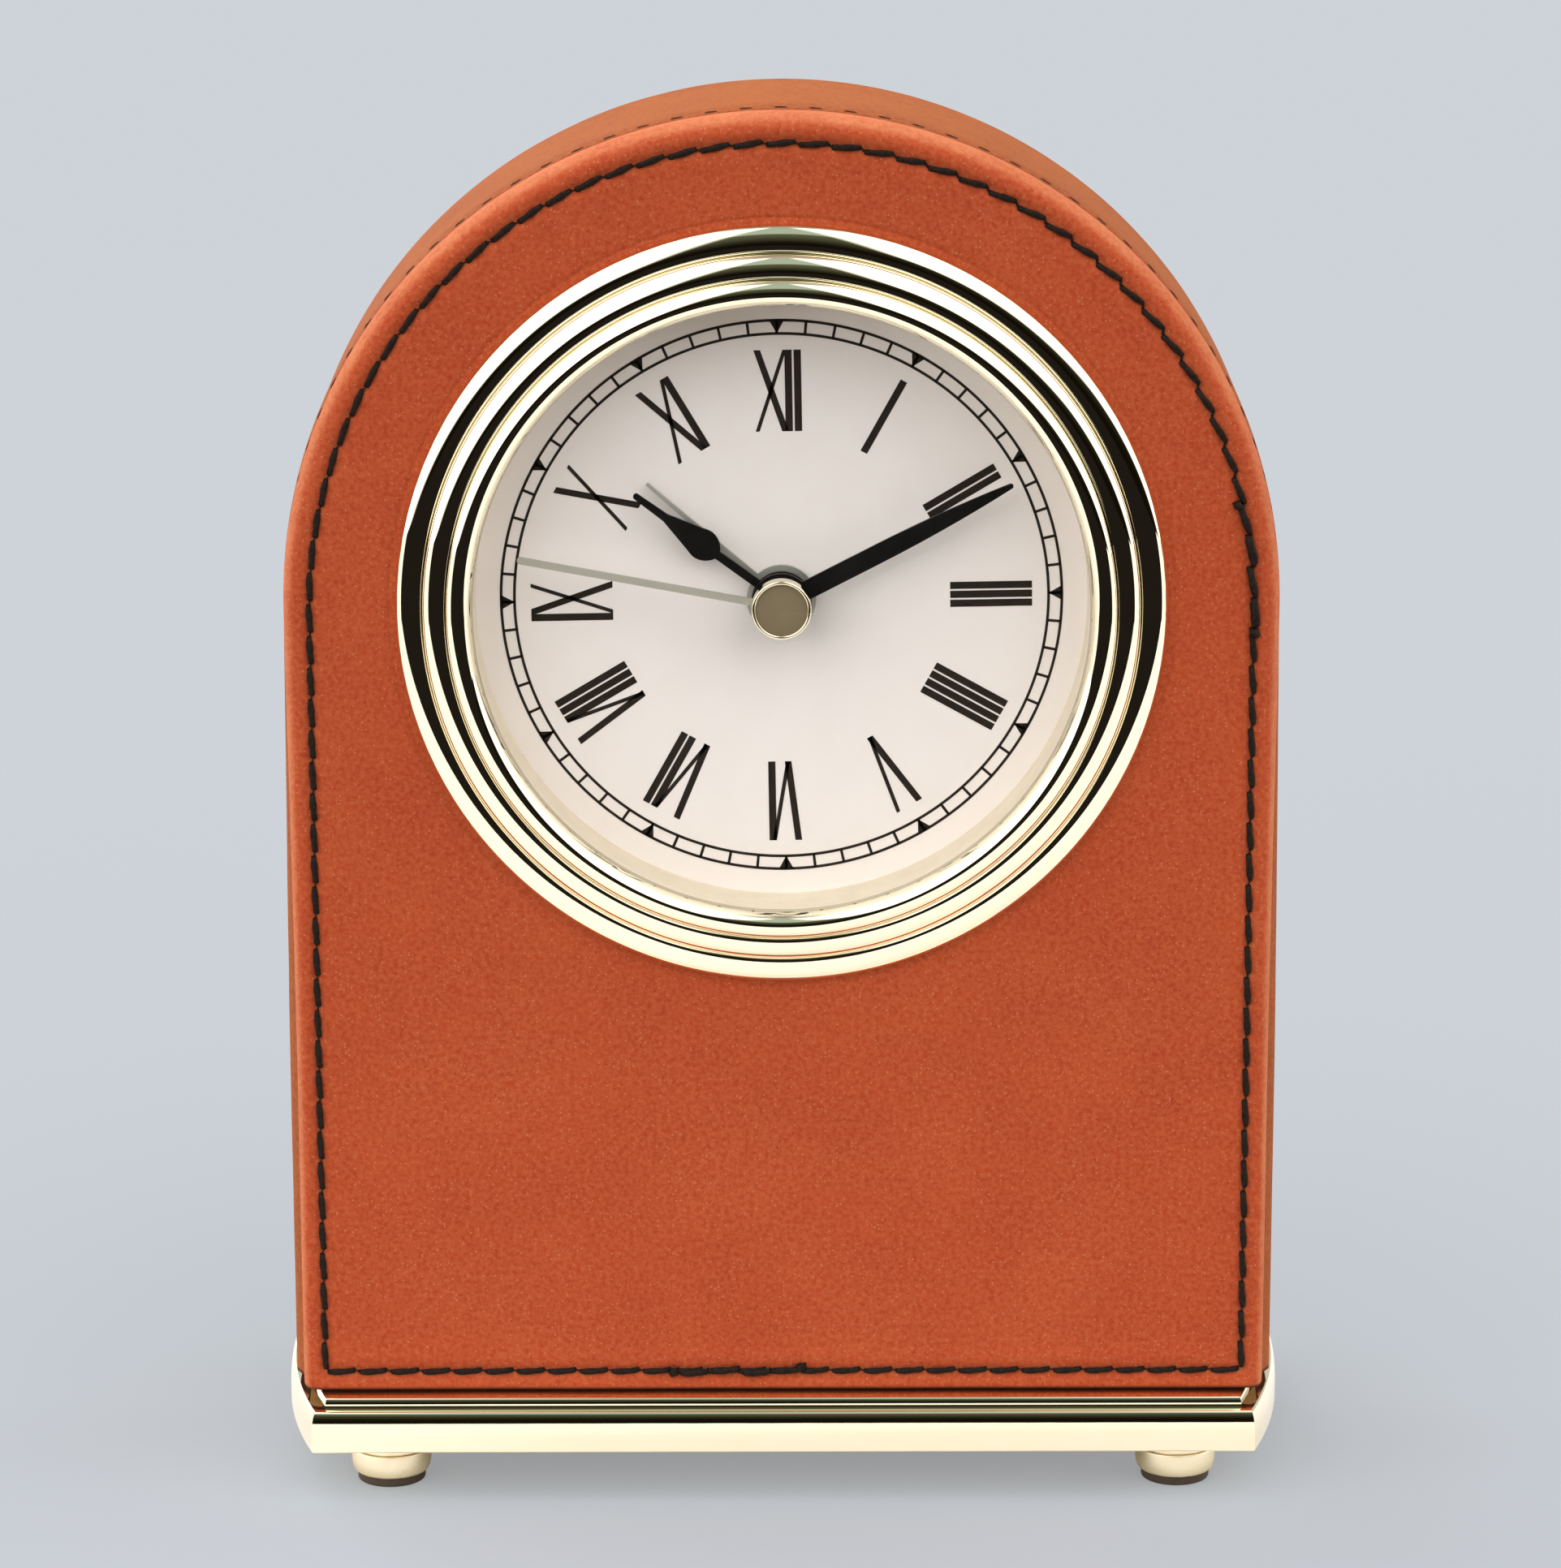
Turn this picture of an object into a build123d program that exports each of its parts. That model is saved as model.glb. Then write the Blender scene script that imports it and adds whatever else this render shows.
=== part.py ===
from build123d import *
import os
from math import cos, pi, radians, sin

# Arched desk clock in millimetres. +Z is up and the dial looks towards -Y.
# The origin is on the table, under the middle of the base plate.
# Depths named "front" and "back" are measured rearward from the leather's face.

# Case
total_height = 152.4
body_width = 107.2
body_depth = 28.8
leather_thickness = 1.0
leather_edge_round = 2.2
seam_setback = 4.4
seam_gap = 0.3
back_board_thickness = 2.0

# Base plate
base_depth = 51.6
base_front_width = 103.4
base_side_bow = 4.0
base_lip = 4.2
lower_tier_height = 4.6
lower_tier_round = 1.35
upper_tier_height = 1.05
upper_tier_round = 0.5
upper_tier_setback = 1.9

# Feet
pad_height = 1.0
pad_radius = 3.75
foot_height = 4.55
foot_radius = 4.6
foot_neck_radius = 4.1
foot_spacing = 87.0
foot_edge_distance = 8.0
foot_stud_radius = 1.5
foot_stud_length = 3.4

# Case screws
case_screw_radius = 1.75
case_screw_spacing = 60.0
case_screw_head_radius = 3.4
case_screw_grip = 14.0

# Clock insert
dial_rise = 0.7
insert_radius = 36.4
insert_wall = 1.6
insert_floor = 1.5
bore_clearance = 1.2
grip_front = 8.0
grip_width = 5.0

# Bezel, crystal, reflector and dial
bezel_radius = 41.2
bezel_edge = 0.3
bezel_step_width = 2.6
bezel_first_rise = 1.6
bezel_second_rise = 1.4
bezel_third_rise = 1.1
bezel_crease = 0.3
bezel_opening_radius = 32.95
bezel_bevel_width = 0.85
bezel_bevel_depth = 1.6
bezel_lip_round = 0.3
crystal_overlap = 1.05
crystal_thickness = 1.1
crystal_rise = 1.6
crystal_dome_setback = 0.2
reflector_inset = 0.1
dial_front = 5.4
dial_thickness = 0.5

# Hands, with angles clockwise from twelve
hand_thickness = 0.4
hand_pitch = 1.1
alarm_hand_clearance = 0.5
alarm_angle = 311.2
alarm_length = 19.1
alarm_root_width = 0.9
alarm_tip_width = 0.35
alarm_hub_radius = 3.7
hour_angle = 306.4
hour_length = 19.55
hour_stem_width = 0.9
hour_bulb_start = 8.45
hour_shoulder = 9.32
hour_shoulder_width = 2.72
hour_bulb_peak = 10.4
hour_bulb_width = 3.36
hour_cheek = 10.87
hour_cheek_width = 3.22
hour_taper = 11.3
hour_taper_width = 2.95
hour_neck = 15.35
hour_neck_width = 0.87
hour_tip_width = 0.66
minute_angle = 62.6
minute_length = 27.8
minute_width = 2.05
minute_taper = 11.5
minute_tip_width = 0.54
black_hub_radius = 3.2
second_angle = 280.5
second_length = 28.6
second_width = 0.76
second_hub_radius = 1.6
second_hand_thickness = 0.3
second_hand_lift = 2.15
cap_radius = 3.18
cap_height = 1.6
cap_rim = 0.46
cap_recess = 0.3

# Hand pipes, from the arbor outwards
arbor_radius = 0.42
pipe_wall = 0.5
pipe_clearance = 0.06
bush_wall = 1.05
bush_stand = 0.9
hand_fit = 0.03

# Wheels
wheel_thickness = 1.0
wheel_gap = 0.6
floor_gap = 0.4
motion_module = 0.4
train_module = 0.25
cannon_teeth = 10
motion_teeth = 30
motion_pinion_teeth = 8
hour_teeth = 32
set_teeth = 10
alarm_teeth = 32
alarm_pinion_teeth = 18
rotor_teeth = 8
step_teeth = 40
step_pinion_teeth = 10
seconds_teeth = 60
seconds_pinion_teeth = 8
third_teeth = 60
third_pinion_teeth = 8
centre_teeth = 64
motion_direction = 40.0
set_direction = 20.0
alarm_direction = 160.0
step_direction = 200.0
rotor_direction = 200.0
third_direction = 100.0
tooth_tip = 0.75
tooth_root = 1.15
tooth_tip_share = 0.22
tooth_pitch_share = 0.40
tooth_root_share = 0.50
pivot_depth = 0.8
pivot_clearance = 0.05
post_radius = 0.6

# Train bridge and its posts
bridge_thickness = 1.5
bridge_left = 17.2
bridge_right = 12.0
bridge_top = 16.6
bridge_bottom = 8.8
bridge_corner = 2.0
pillar_radius = 1.6
pillar_inset = 2.6
screw_radius = 0.6
screw_head_radius = 1.5
screw_head_height = 0.8
screw_depth = 4.0
rear_space = 3.9

# Motor
magnet_radius = 2.5
magnet_height = 1.4
stator_thickness = 1.0
stator_air_gap = 0.4
stator_reach = 3.2
coil_offset = 10.2
coil_length = 8.6
coil_radius = 3.0
coil_flange_radius = 3.6
coil_flange = 0.6
core_radius = 1.0
core_pad_half_width = 3.4
core_pad_length = 4.0

# Electronics and battery
board_width = 19.0
board_height = 11.6
board_thickness = 1.0
board_left = 12.4
board_low = 8.6
board_post_inset = 3.2
chip_size = 6.0
chip_height = 1.2
quartz_radius = 1.0
quartz_length = 6.0
battery_radius = 5.25
battery_length = 44.5
battery_nub_radius = 1.9
battery_nub_length = 1.0
battery_drop = 16.8
battery_clearance = 0.5
battery_seat = 0.3
contact_space = 1.2
contact_thickness = 0.4
contact_height = 8.0
contact_gap = 0.1
well_wall = 0.9
door_ledge = 0.9
door_thickness = 1.2
door_clearance = 0.25
door_grip_radius = 4.0
door_grip_depth = 0.5

# Rear cover, knobs, alarm switch and buzzer
cover_thickness = 1.8
cover_spigot = 2.0
cover_spigot_wall = 1.2
cover_spigot_clearance = 0.2
stem_radius = 1.0
stem_clearance = 0.06
knob_radius = 5.0
knob_height = 3.4
knob_lift = 0.4
knob_flutes = 24
knob_flute_radius = 0.35
switch_rise = 22.0
switch_travel = 4.0
switch_width = 3.4
switch_height = 2.6
switch_plate = 1.0
switch_plate_margin = 1.6
switch_stand = 1.2
switch_clearance = 0.3
buzzer_radius = 8.5
buzzer_thickness = 0.6
buzzer_left = 17.0
buzzer_rise = 15.5
sound_hole_radius = 0.7
sound_hole_circle = 3.5
sound_holes = 6

# Heights and planes worked out from the sizes above
base_bottom_z = pad_height + foot_height
base_top_z = base_bottom_z + lower_tier_height + upper_tier_height
arch_radius = body_width / 2
arch_centre_z = total_height - arch_radius
dial_z = arch_centre_z + dial_rise
face_y = base_lip - base_depth / 2
dial_axis = Axis((0, face_y, dial_z), (0, 1, 0))
turning_plane = Plane(origin=(0, face_y, dial_z), x_dir=(1, 0, 0), z_dir=(0, 0, 1))

# Depths through the insert, rearward from the leather's face
board_front = body_depth - back_board_thickness
floor_front = dial_front + dial_thickness
floor_back = floor_front + insert_floor
bore_radius = insert_radius + bore_clearance
cup_inner_radius = insert_radius - insert_wall
bezel_height = bezel_first_rise + bezel_second_rise + bezel_third_rise
crystal_front = bezel_bevel_depth - bezel_height
crystal_back = crystal_front + crystal_thickness
crystal_radius = bezel_opening_radius + crystal_overlap

# Pipe radii on the hand axis
minute_bore = arbor_radius + pipe_clearance
minute_pipe = minute_bore + pipe_wall
hour_bore = minute_pipe + pipe_clearance
hour_pipe = hour_bore + pipe_wall
alarm_bore = hour_pipe + pipe_clearance
alarm_pipe = alarm_bore + pipe_wall
bush_bore = alarm_pipe + pipe_clearance
bush_radius = bush_bore + bush_wall

# Depths of the hands
alarm_hand_front = dial_front - alarm_hand_clearance - hand_thickness
hour_hand_front = alarm_hand_front - hand_pitch
minute_hand_front = hour_hand_front - hand_pitch
second_hand_front = minute_hand_front - second_hand_lift
cap_front = second_hand_front - cap_height


def wheel_level(number):
    """Front depth of a wheel, counted rearward from the insert's floor."""
    return floor_back + floor_gap + number * (wheel_thickness + wheel_gap)


alarm_level = wheel_level(0)
hour_level = wheel_level(1)
minute_level = wheel_level(2)
centre_level = wheel_level(3)
third_level = wheel_level(4)
seconds_level = wheel_level(5)
step_level = wheel_level(6)
bridge_front = step_level + wheel_thickness + wheel_gap
bridge_back = bridge_front + bridge_thickness
pivot_front = floor_back - pivot_depth
pivot_back = bridge_front + pivot_depth
cover_front = bridge_back + screw_head_height + rear_space
cover_back = cover_front + cover_thickness


def polar(distance, direction, start=(0.0, 0.0)):
    """Point at a distance and a direction in degrees from a start point."""
    angle = radians(direction)
    return (start[0] + distance * cos(angle), start[1] + distance * sin(angle))


def centre_distance(teeth_a, teeth_b, module):
    """Distance between the axes of two meshed wheels."""
    return module * (teeth_a + teeth_b) / 2


def mesh_turn(teeth_a, turn_a, direction, teeth_b):
    """Turn of wheel b, in degrees, that puts its gap on the tooth of wheel a."""
    step = 360 / teeth_a
    lead = (turn_a - direction + step / 2) % step - step / 2
    return direction + 180 - lead * teeth_a / teeth_b + 180 / teeth_b


# Wheel axes, measured from the hand axis
hand_axis = (0.0, 0.0)
motion_distance = centre_distance(cannon_teeth, motion_teeth, motion_module)
motion_axis = polar(motion_distance, motion_direction)
set_axis = polar(centre_distance(set_teeth, motion_teeth, motion_module), set_direction, motion_axis)
alarm_axis = polar(centre_distance(alarm_teeth, alarm_pinion_teeth, motion_module), alarm_direction)
step_axis = polar(centre_distance(step_pinion_teeth, seconds_teeth, train_module), step_direction)
rotor_distance = centre_distance(rotor_teeth, step_teeth, train_module)
rotor_axis = polar(rotor_distance, rotor_direction, step_axis)
third_distance = centre_distance(seconds_pinion_teeth, third_teeth, train_module)
third_axis = polar(third_distance, third_direction)
hour_module = 2 * motion_distance / (motion_pinion_teeth + hour_teeth)
centre_module = 2 * third_distance / (third_pinion_teeth + centre_teeth)

# Turns that put the meshed teeth into the gaps
cannon_turn = motion_direction
motion_turn = mesh_turn(cannon_teeth, cannon_turn, motion_direction, motion_teeth)
set_turn = mesh_turn(motion_teeth, motion_turn, set_direction, set_teeth)
hour_turn = mesh_turn(motion_pinion_teeth, motion_direction, motion_direction + 180, hour_teeth)
alarm_pinion_turn = mesh_turn(alarm_teeth, alarm_direction, alarm_direction, alarm_pinion_teeth)
seconds_turn = mesh_turn(step_pinion_teeth, step_direction, step_direction + 180, seconds_teeth)
rotor_turn = mesh_turn(step_teeth, rotor_direction, rotor_direction, rotor_teeth)
third_turn = mesh_turn(seconds_pinion_teeth, third_direction, third_direction, third_teeth)
centre_turn = mesh_turn(third_pinion_teeth, third_direction, third_direction + 180, centre_teeth)

# Posts, stems and mounted pieces
pillar_axes = [
    (pillar_inset - bridge_left, bridge_top - pillar_inset),
    (bridge_right - pillar_inset, bridge_top - pillar_inset),
    (bridge_right - pillar_inset, pillar_inset - bridge_bottom),
]
coil_x = rotor_axis[0] - coil_offset
stator_top = rotor_axis[1] + stator_reach
stator_front = centre_level
stator_back = stator_front + stator_thickness
core_pad_low = stator_top + coil_length
stator_pillars = [(coil_x, rotor_axis[1]), (coil_x, core_pad_low + core_pad_length / 2)]
circuit_front = step_level
circuit_back = circuit_front + board_thickness
board_posts = [
    (board_left + board_post_inset, board_post_inset - board_low),
    (board_left + board_width - board_post_inset, board_height - board_low - board_post_inset),
]
well_half_length = battery_length / 2 + contact_space
well_half_height = battery_radius + battery_clearance
door_front = cover_back - door_thickness
battery_depth = door_front - door_clearance - battery_radius
well_front = battery_depth - battery_radius - battery_seat
buzzer_axis = (-buzzer_left, buzzer_rise)


def face_plane(depth):
    """Plane that looks out of the clock's front, on the frame's own X and Z."""
    return Plane(origin=(0, face_y + depth, 0), x_dir=(1, 0, 0), z_dir=(0, -1, 0))


def clock_plane(depth, at=hand_axis):
    """The same plane with its origin at a point measured from the hand axis."""
    return Plane(
        origin=(at[0], face_y + depth, dial_z + at[1]), x_dir=(1, 0, 0), z_dir=(0, -1, 0)
    )


def hand_plane(depth, angle):
    """Plane on the hand axis whose local Y runs along a hand."""
    turn = radians(angle)
    return Plane(
        origin=(0, face_y + depth, dial_z), x_dir=(cos(turn), 0, -sin(turn)), z_dir=(0, -1, 0)
    )


def tooth_points(teeth, module, turn):
    """Outline of a toothed wheel with straight-sided teeth."""
    pitch_radius = teeth * module / 2
    tip_radius = pitch_radius + tooth_tip * module
    root_radius = pitch_radius - tooth_root * module
    half_tooth = [
        (root_radius, tooth_root_share),
        (pitch_radius, tooth_pitch_share),
        (tip_radius, tooth_tip_share),
    ]
    points = []
    for tooth in range(teeth):
        middle = radians(turn + tooth * 360 / teeth)
        for side, flank in ((-1, half_tooth), (1, reversed(half_tooth))):
            for radius, share in flank:
                angle = middle + side * share * pi * module / (2 * radius)
                points.append((radius * cos(angle), radius * sin(angle)))
    return points


def disc(at, radius, front, back, mode=Mode.ADD):
    """Round disc in the open part, between two depths."""
    with BuildSketch(clock_plane(back, at)) as outline:
        Circle(radius)
    extrude(outline.sketch, amount=back - front, mode=mode)


def toothed(at, teeth, module, turn, front):
    """Toothed wheel in the open part, one wheel thick."""
    with BuildSketch(clock_plane(front + wheel_thickness, at)) as outline:
        with BuildLine():
            Polyline(*tooth_points(teeth, module, turn), close=True)
        make_face()
    extrude(outline.sketch, amount=wheel_thickness)


def block(left, right, low, high, front, back, mode=Mode.ADD):
    """Rectangular block in the open part, placed from the hand axis."""
    with BuildSketch(clock_plane(back, ((left + right) / 2, (low + high) / 2))) as outline:
        Rectangle(right - left, high - low)
    extrude(outline.sketch, amount=back - front, mode=mode)


def arch_form(half_width, front, back, edge_round=0.0):
    """Solid arch between two depths, with its front edge rounded."""
    with BuildPart() as form:
        with BuildSketch(face_plane(back)):
            with BuildLine():
                Polyline(
                    (-half_width, arch_centre_z),
                    (-half_width, base_top_z),
                    (half_width, base_top_z),
                    (half_width, arch_centre_z),
                )
                RadiusArc((half_width, arch_centre_z), (-half_width, arch_centre_z), -half_width)
            make_face()
        extrude(amount=back - front)
        if edge_round > 0:
            rim = form.faces().sort_by(Axis.Y)[0].edges()
            fillet(rim.sort_by(Axis.Z)[1:], edge_round)
    return form.part


os.makedirs("parts", exist_ok=True)
core_half_width = arch_radius - leather_thickness
core_edge_round = leather_edge_round - leather_thickness
leather_form = arch_form(arch_radius, 0.0, seam_setback, leather_edge_round)
core_form = arch_form(core_half_width, leather_thickness, board_front, core_edge_round)
band_form = arch_form(arch_radius, seam_setback + seam_gap, body_depth)
band_hollow = arch_form(core_half_width, 0.0, body_depth)
board_form = arch_form(core_half_width, board_front, body_depth)
case_screw_points = [(-case_screw_spacing / 2, 0.0), (case_screw_spacing / 2, 0.0)]
case_screw_y = face_y + body_depth / 2
case_screw_clear = case_screw_radius + pivot_clearance

# Case core with the insert's bore and the pilot holes of the case screws
with BuildPart() as case_core:
    add(core_form)
    disc(hand_axis, bore_radius, 0.0, body_depth, Mode.SUBTRACT)
    with BuildSketch(Plane(origin=(0, case_screw_y, base_top_z))):
        with Locations(*case_screw_points):
            Circle(case_screw_clear)
    extrude(amount=case_screw_grip + pivot_clearance, mode=Mode.SUBTRACT)
case_core.part.label = "case_core"

# Front leather, folded over the front edge as far as the seam
with BuildPart() as front_leather:
    add(leather_form)
    add(core_form, mode=Mode.SUBTRACT)
    disc(hand_axis, bore_radius, 0.0, body_depth, Mode.SUBTRACT)
front_leather.part.label = "front_leather"

# Side leather, one band over the arch from the seam to the back
with BuildPart() as side_leather:
    add(band_form)
    add(band_hollow, mode=Mode.SUBTRACT)
side_leather.part.label = "side_leather"

# Back board, open where the insert's rear is reached
with BuildPart() as back_board:
    add(board_form)
    disc(hand_axis, bore_radius, 0.0, body_depth, Mode.SUBTRACT)
back_board.part.label = "back_board"


def base_outline(setback):
    """Base outline: straight front and rear edges, and sides that bow outwards."""
    half_depth = base_depth / 2
    corner_x = base_front_width / 2
    with BuildSketch() as outline:
        with BuildLine():
            for side in (-1, 1):
                ThreePointArc(
                    (side * corner_x, -half_depth),
                    (side * (corner_x + base_side_bow), 0),
                    (side * corner_x, half_depth),
                )
                Line((-corner_x, side * half_depth), (corner_x, side * half_depth))
        make_face()
        if setback > 0:
            offset(amount=-setback, kind=Kind.INTERSECTION, mode=Mode.REPLACE)
    return outline.sketch


foot_y = base_depth / 2 - foot_edge_distance
foot_places = {
    "front_left": (-foot_spacing / 2, -foot_y),
    "front_right": (foot_spacing / 2, -foot_y),
    "rear_left": (-foot_spacing / 2, foot_y),
    "rear_right": (foot_spacing / 2, foot_y),
}
foot_stud_hole = foot_stud_radius + pivot_clearance
lower_tier_top = base_bottom_z + lower_tier_height

# Base plate in two tiers, with holes for the foot studs and the case screws
with BuildPart() as base_plate:
    with BuildSketch(Plane.XY.offset(base_bottom_z)):
        add(base_outline(0.0))
    extrude(amount=lower_tier_height)
    fillet(base_plate.faces().sort_by(Axis.Z)[-1].edges(), lower_tier_round)
    with BuildSketch(Plane.XY.offset(lower_tier_top)):
        add(base_outline(upper_tier_setback))
    extrude(amount=upper_tier_height)
    fillet(base_plate.faces().sort_by(Axis.Z)[-1].edges(), upper_tier_round)
    with BuildSketch(Plane.XY.offset(base_bottom_z)):
        with Locations(*foot_places.values()):
            Circle(foot_stud_hole)
    extrude(amount=foot_stud_length + pivot_clearance, mode=Mode.SUBTRACT)
    with Locations(Plane(origin=(0, case_screw_y, base_bottom_z), z_dir=(0, 0, -1))):
        with Locations(*case_screw_points):
            CounterSinkHole(case_screw_clear, case_screw_head_radius + pivot_clearance)
base_plate.part.label = "base_plate"

# Case screws, up through the base plate into the core
with BuildPart() as case_screws:
    with Locations(Plane(origin=(0, case_screw_y, base_bottom_z))):
        with Locations(*case_screw_points):
            Cylinder(
                case_screw_radius,
                base_top_z - base_bottom_z + case_screw_grip,
                align=(Align.CENTER, Align.CENTER, Align.MIN),
            )
            Cone(
                case_screw_head_radius,
                case_screw_radius,
                case_screw_head_radius - case_screw_radius,
                align=(Align.CENTER, Align.CENTER, Align.MIN),
            )
case_screws.part.label = "case_screws"

# Feet with their studs, and the pads under them
feet = []
for place, (foot_x, foot_place_y) in foot_places.items():
    foot_plane = Plane(origin=(foot_x, foot_place_y, 0), x_dir=(1, 0, 0), z_dir=(0, -1, 0))
    with BuildPart() as foot:
        with BuildSketch(foot_plane):
            with BuildLine():
                side = ThreePointArc(
                    (pad_radius, pad_height),
                    ((pad_radius + 2 * foot_radius) / 3, pad_height + foot_height / 3),
                    (foot_radius, base_bottom_z - foot_height / 4),
                )
                Polyline(
                    side @ 1,
                    (foot_neck_radius, base_bottom_z),
                    (foot_stud_radius, base_bottom_z),
                    (foot_stud_radius, base_bottom_z + foot_stud_length),
                    (0, base_bottom_z + foot_stud_length),
                    (0, pad_height),
                    side @ 0,
                )
            make_face()
        revolve(axis=Axis((foot_x, foot_place_y, 0), (0, 0, 1)))
    foot.part.label = f"foot_{place}"
    with BuildPart() as foot_pad:
        with BuildSketch(Plane(origin=(foot_x, foot_place_y, 0))):
            Circle(pad_radius)
        extrude(amount=pad_height)
        fillet(foot_pad.faces().sort_by(Axis.Z)[0].edges(), pad_height / 4)
    foot_pad.part.label = f"foot_pad_{place}"
    feet += [foot.part, foot_pad.part]

# Insert cup: the tube in the bore, its floor behind the dial, and the posts on the floor
with BuildPart() as insert_cup:
    disc(hand_axis, insert_radius, 0.0, cover_front)
    disc(hand_axis, cup_inner_radius, 0.0, floor_front, Mode.SUBTRACT)
    disc(hand_axis, cup_inner_radius, floor_back, cover_front, Mode.SUBTRACT)
    disc(hand_axis, bush_radius, floor_front - bush_stand, floor_back)
    disc(hand_axis, bush_bore, floor_front - bush_stand, floor_back, Mode.SUBTRACT)
    disc(motion_axis, post_radius, floor_back, minute_level + wheel_thickness + wheel_gap / 2)
    for pillar in pillar_axes:
        disc(pillar, pillar_radius, floor_back, bridge_front)
        disc(pillar, screw_radius + pivot_clearance, bridge_front - screw_depth, bridge_front, Mode.SUBTRACT)
    for pillar in stator_pillars:
        disc(pillar, pillar_radius, floor_back, stator_front)
        disc(pillar, screw_radius + pivot_clearance, floor_back, stator_front, Mode.SUBTRACT)
    for pillar in board_posts:
        disc(pillar, pillar_radius, floor_back, circuit_front)
    for pivot in (third_axis, step_axis, rotor_axis):
        disc(pivot, arbor_radius + pivot_clearance, pivot_front, floor_back, Mode.SUBTRACT)
    for stem in (set_axis, alarm_axis):
        disc(stem, post_radius + pivot_clearance, pivot_front, floor_back, Mode.SUBTRACT)
insert_cup.part.label = "insert_cup"

# Grip ring that holds the insert in the bore
with BuildPart() as grip_ring:
    disc(hand_axis, bore_radius - pivot_clearance, grip_front, grip_front + grip_width)
    disc(hand_axis, insert_radius + pivot_clearance, grip_front, grip_front + grip_width, Mode.SUBTRACT)
grip_ring.part.label = "grip_ring"

# Bezel: three rounded steps, an inner bevel and the crystal's rebate
lip_radius = bezel_opening_radius + bezel_bevel_width
second_radius = bezel_radius - bezel_step_width
third_radius = second_radius - bezel_step_width
first_top = -bezel_first_rise
second_top = first_top - bezel_second_rise
third_top = second_top - bezel_third_rise
shoulder = bezel_step_width / 3
with BuildPart() as bezel:
    with BuildSketch(turning_plane):
        with BuildLine():
            Line((bezel_radius, 0), (bezel_radius, -bezel_edge))
            EllipticalCenterArc(
                (second_radius + bezel_crease, -bezel_edge),
                bezel_step_width - bezel_crease,
                bezel_first_rise - bezel_edge,
                start_angle=270,
                arc_size=90,
            )
            Polyline(
                (second_radius + bezel_crease, first_top),
                (second_radius, first_top),
                (second_radius, second_top + shoulder),
            )
            EllipticalCenterArc(
                (third_radius + shoulder, second_top + shoulder),
                bezel_step_width - shoulder,
                shoulder,
                start_angle=270,
                arc_size=90,
            )
            Polyline(
                (third_radius + shoulder, second_top),
                (third_radius, second_top),
                (third_radius, third_top + shoulder),
            )
            ThreePointArc(
                (third_radius, third_top + shoulder),
                (third_radius - shoulder * (1 - cos(pi / 4)), third_top + shoulder * (1 - sin(pi / 4))),
                (third_radius - shoulder, third_top),
            )
            Polyline(
                (third_radius - shoulder, third_top),
                (lip_radius, third_top),
                (bezel_opening_radius, crystal_front),
                (crystal_radius + pivot_clearance, crystal_front),
                (crystal_radius + pivot_clearance, 0),
                (bezel_radius, 0),
            )
        make_face()
    revolve(axis=dial_axis)
    lip_edge = bezel.edges().filter_by(GeomType.CIRCLE).filter_by(
        lambda edge: abs(edge.radius - lip_radius) < bezel_lip_round / 10
    )
    fillet(lip_edge, bezel_lip_round)
bezel.part.label = "bezel"

# Domed crystal with a flat flange under the bezel's lip
dome_radius = bezel_opening_radius - crystal_dome_setback
with BuildPart() as crystal:
    with BuildSketch(turning_plane):
        with BuildLine():
            outer_dome = SagittaArc((0, crystal_front - crystal_rise), (dome_radius, crystal_front),
                                    crystal_rise / 4)
            inner_dome = SagittaArc((0, crystal_back - crystal_rise), (dome_radius, crystal_back),
                                    crystal_rise / 4)
            Polyline(
                outer_dome @ 1,
                (crystal_radius, crystal_front),
                (crystal_radius, crystal_back),
                inner_dome @ 1,
            )
            Line(outer_dome @ 0, inner_dome @ 0)
        make_face()
    revolve(axis=dial_axis)
crystal.part.label = "crystal"

# Reflector ring between the crystal and the dial
with BuildPart() as reflector_ring:
    disc(hand_axis, crystal_radius, crystal_back, dial_front)
    disc(hand_axis, bezel_opening_radius - reflector_inset, crystal_back, dial_front, Mode.SUBTRACT)
reflector_ring.part.label = "reflector_ring"

# Dial
with BuildPart() as dial:
    disc(hand_axis, cup_inner_radius - cover_spigot_clearance, dial_front, floor_front)
    disc(hand_axis, bush_radius + pivot_clearance, dial_front, floor_front, Mode.SUBTRACT)
dial.part.label = "dial"

# Alarm hand
with BuildPart() as alarm_hand:
    with BuildSketch(hand_plane(alarm_hand_front + hand_thickness, alarm_angle)):
        with BuildLine():
            Polyline(
                (-alarm_root_width / 2, 0),
                (-alarm_tip_width / 2, alarm_length),
                (alarm_tip_width / 2, alarm_length),
                (alarm_root_width / 2, 0),
                close=True,
            )
        make_face()
        Circle(alarm_hub_radius)
        Circle(alarm_pipe + hand_fit, mode=Mode.SUBTRACT)
    extrude(amount=hand_thickness)
alarm_hand.part.label = "alarm_hand"

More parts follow.
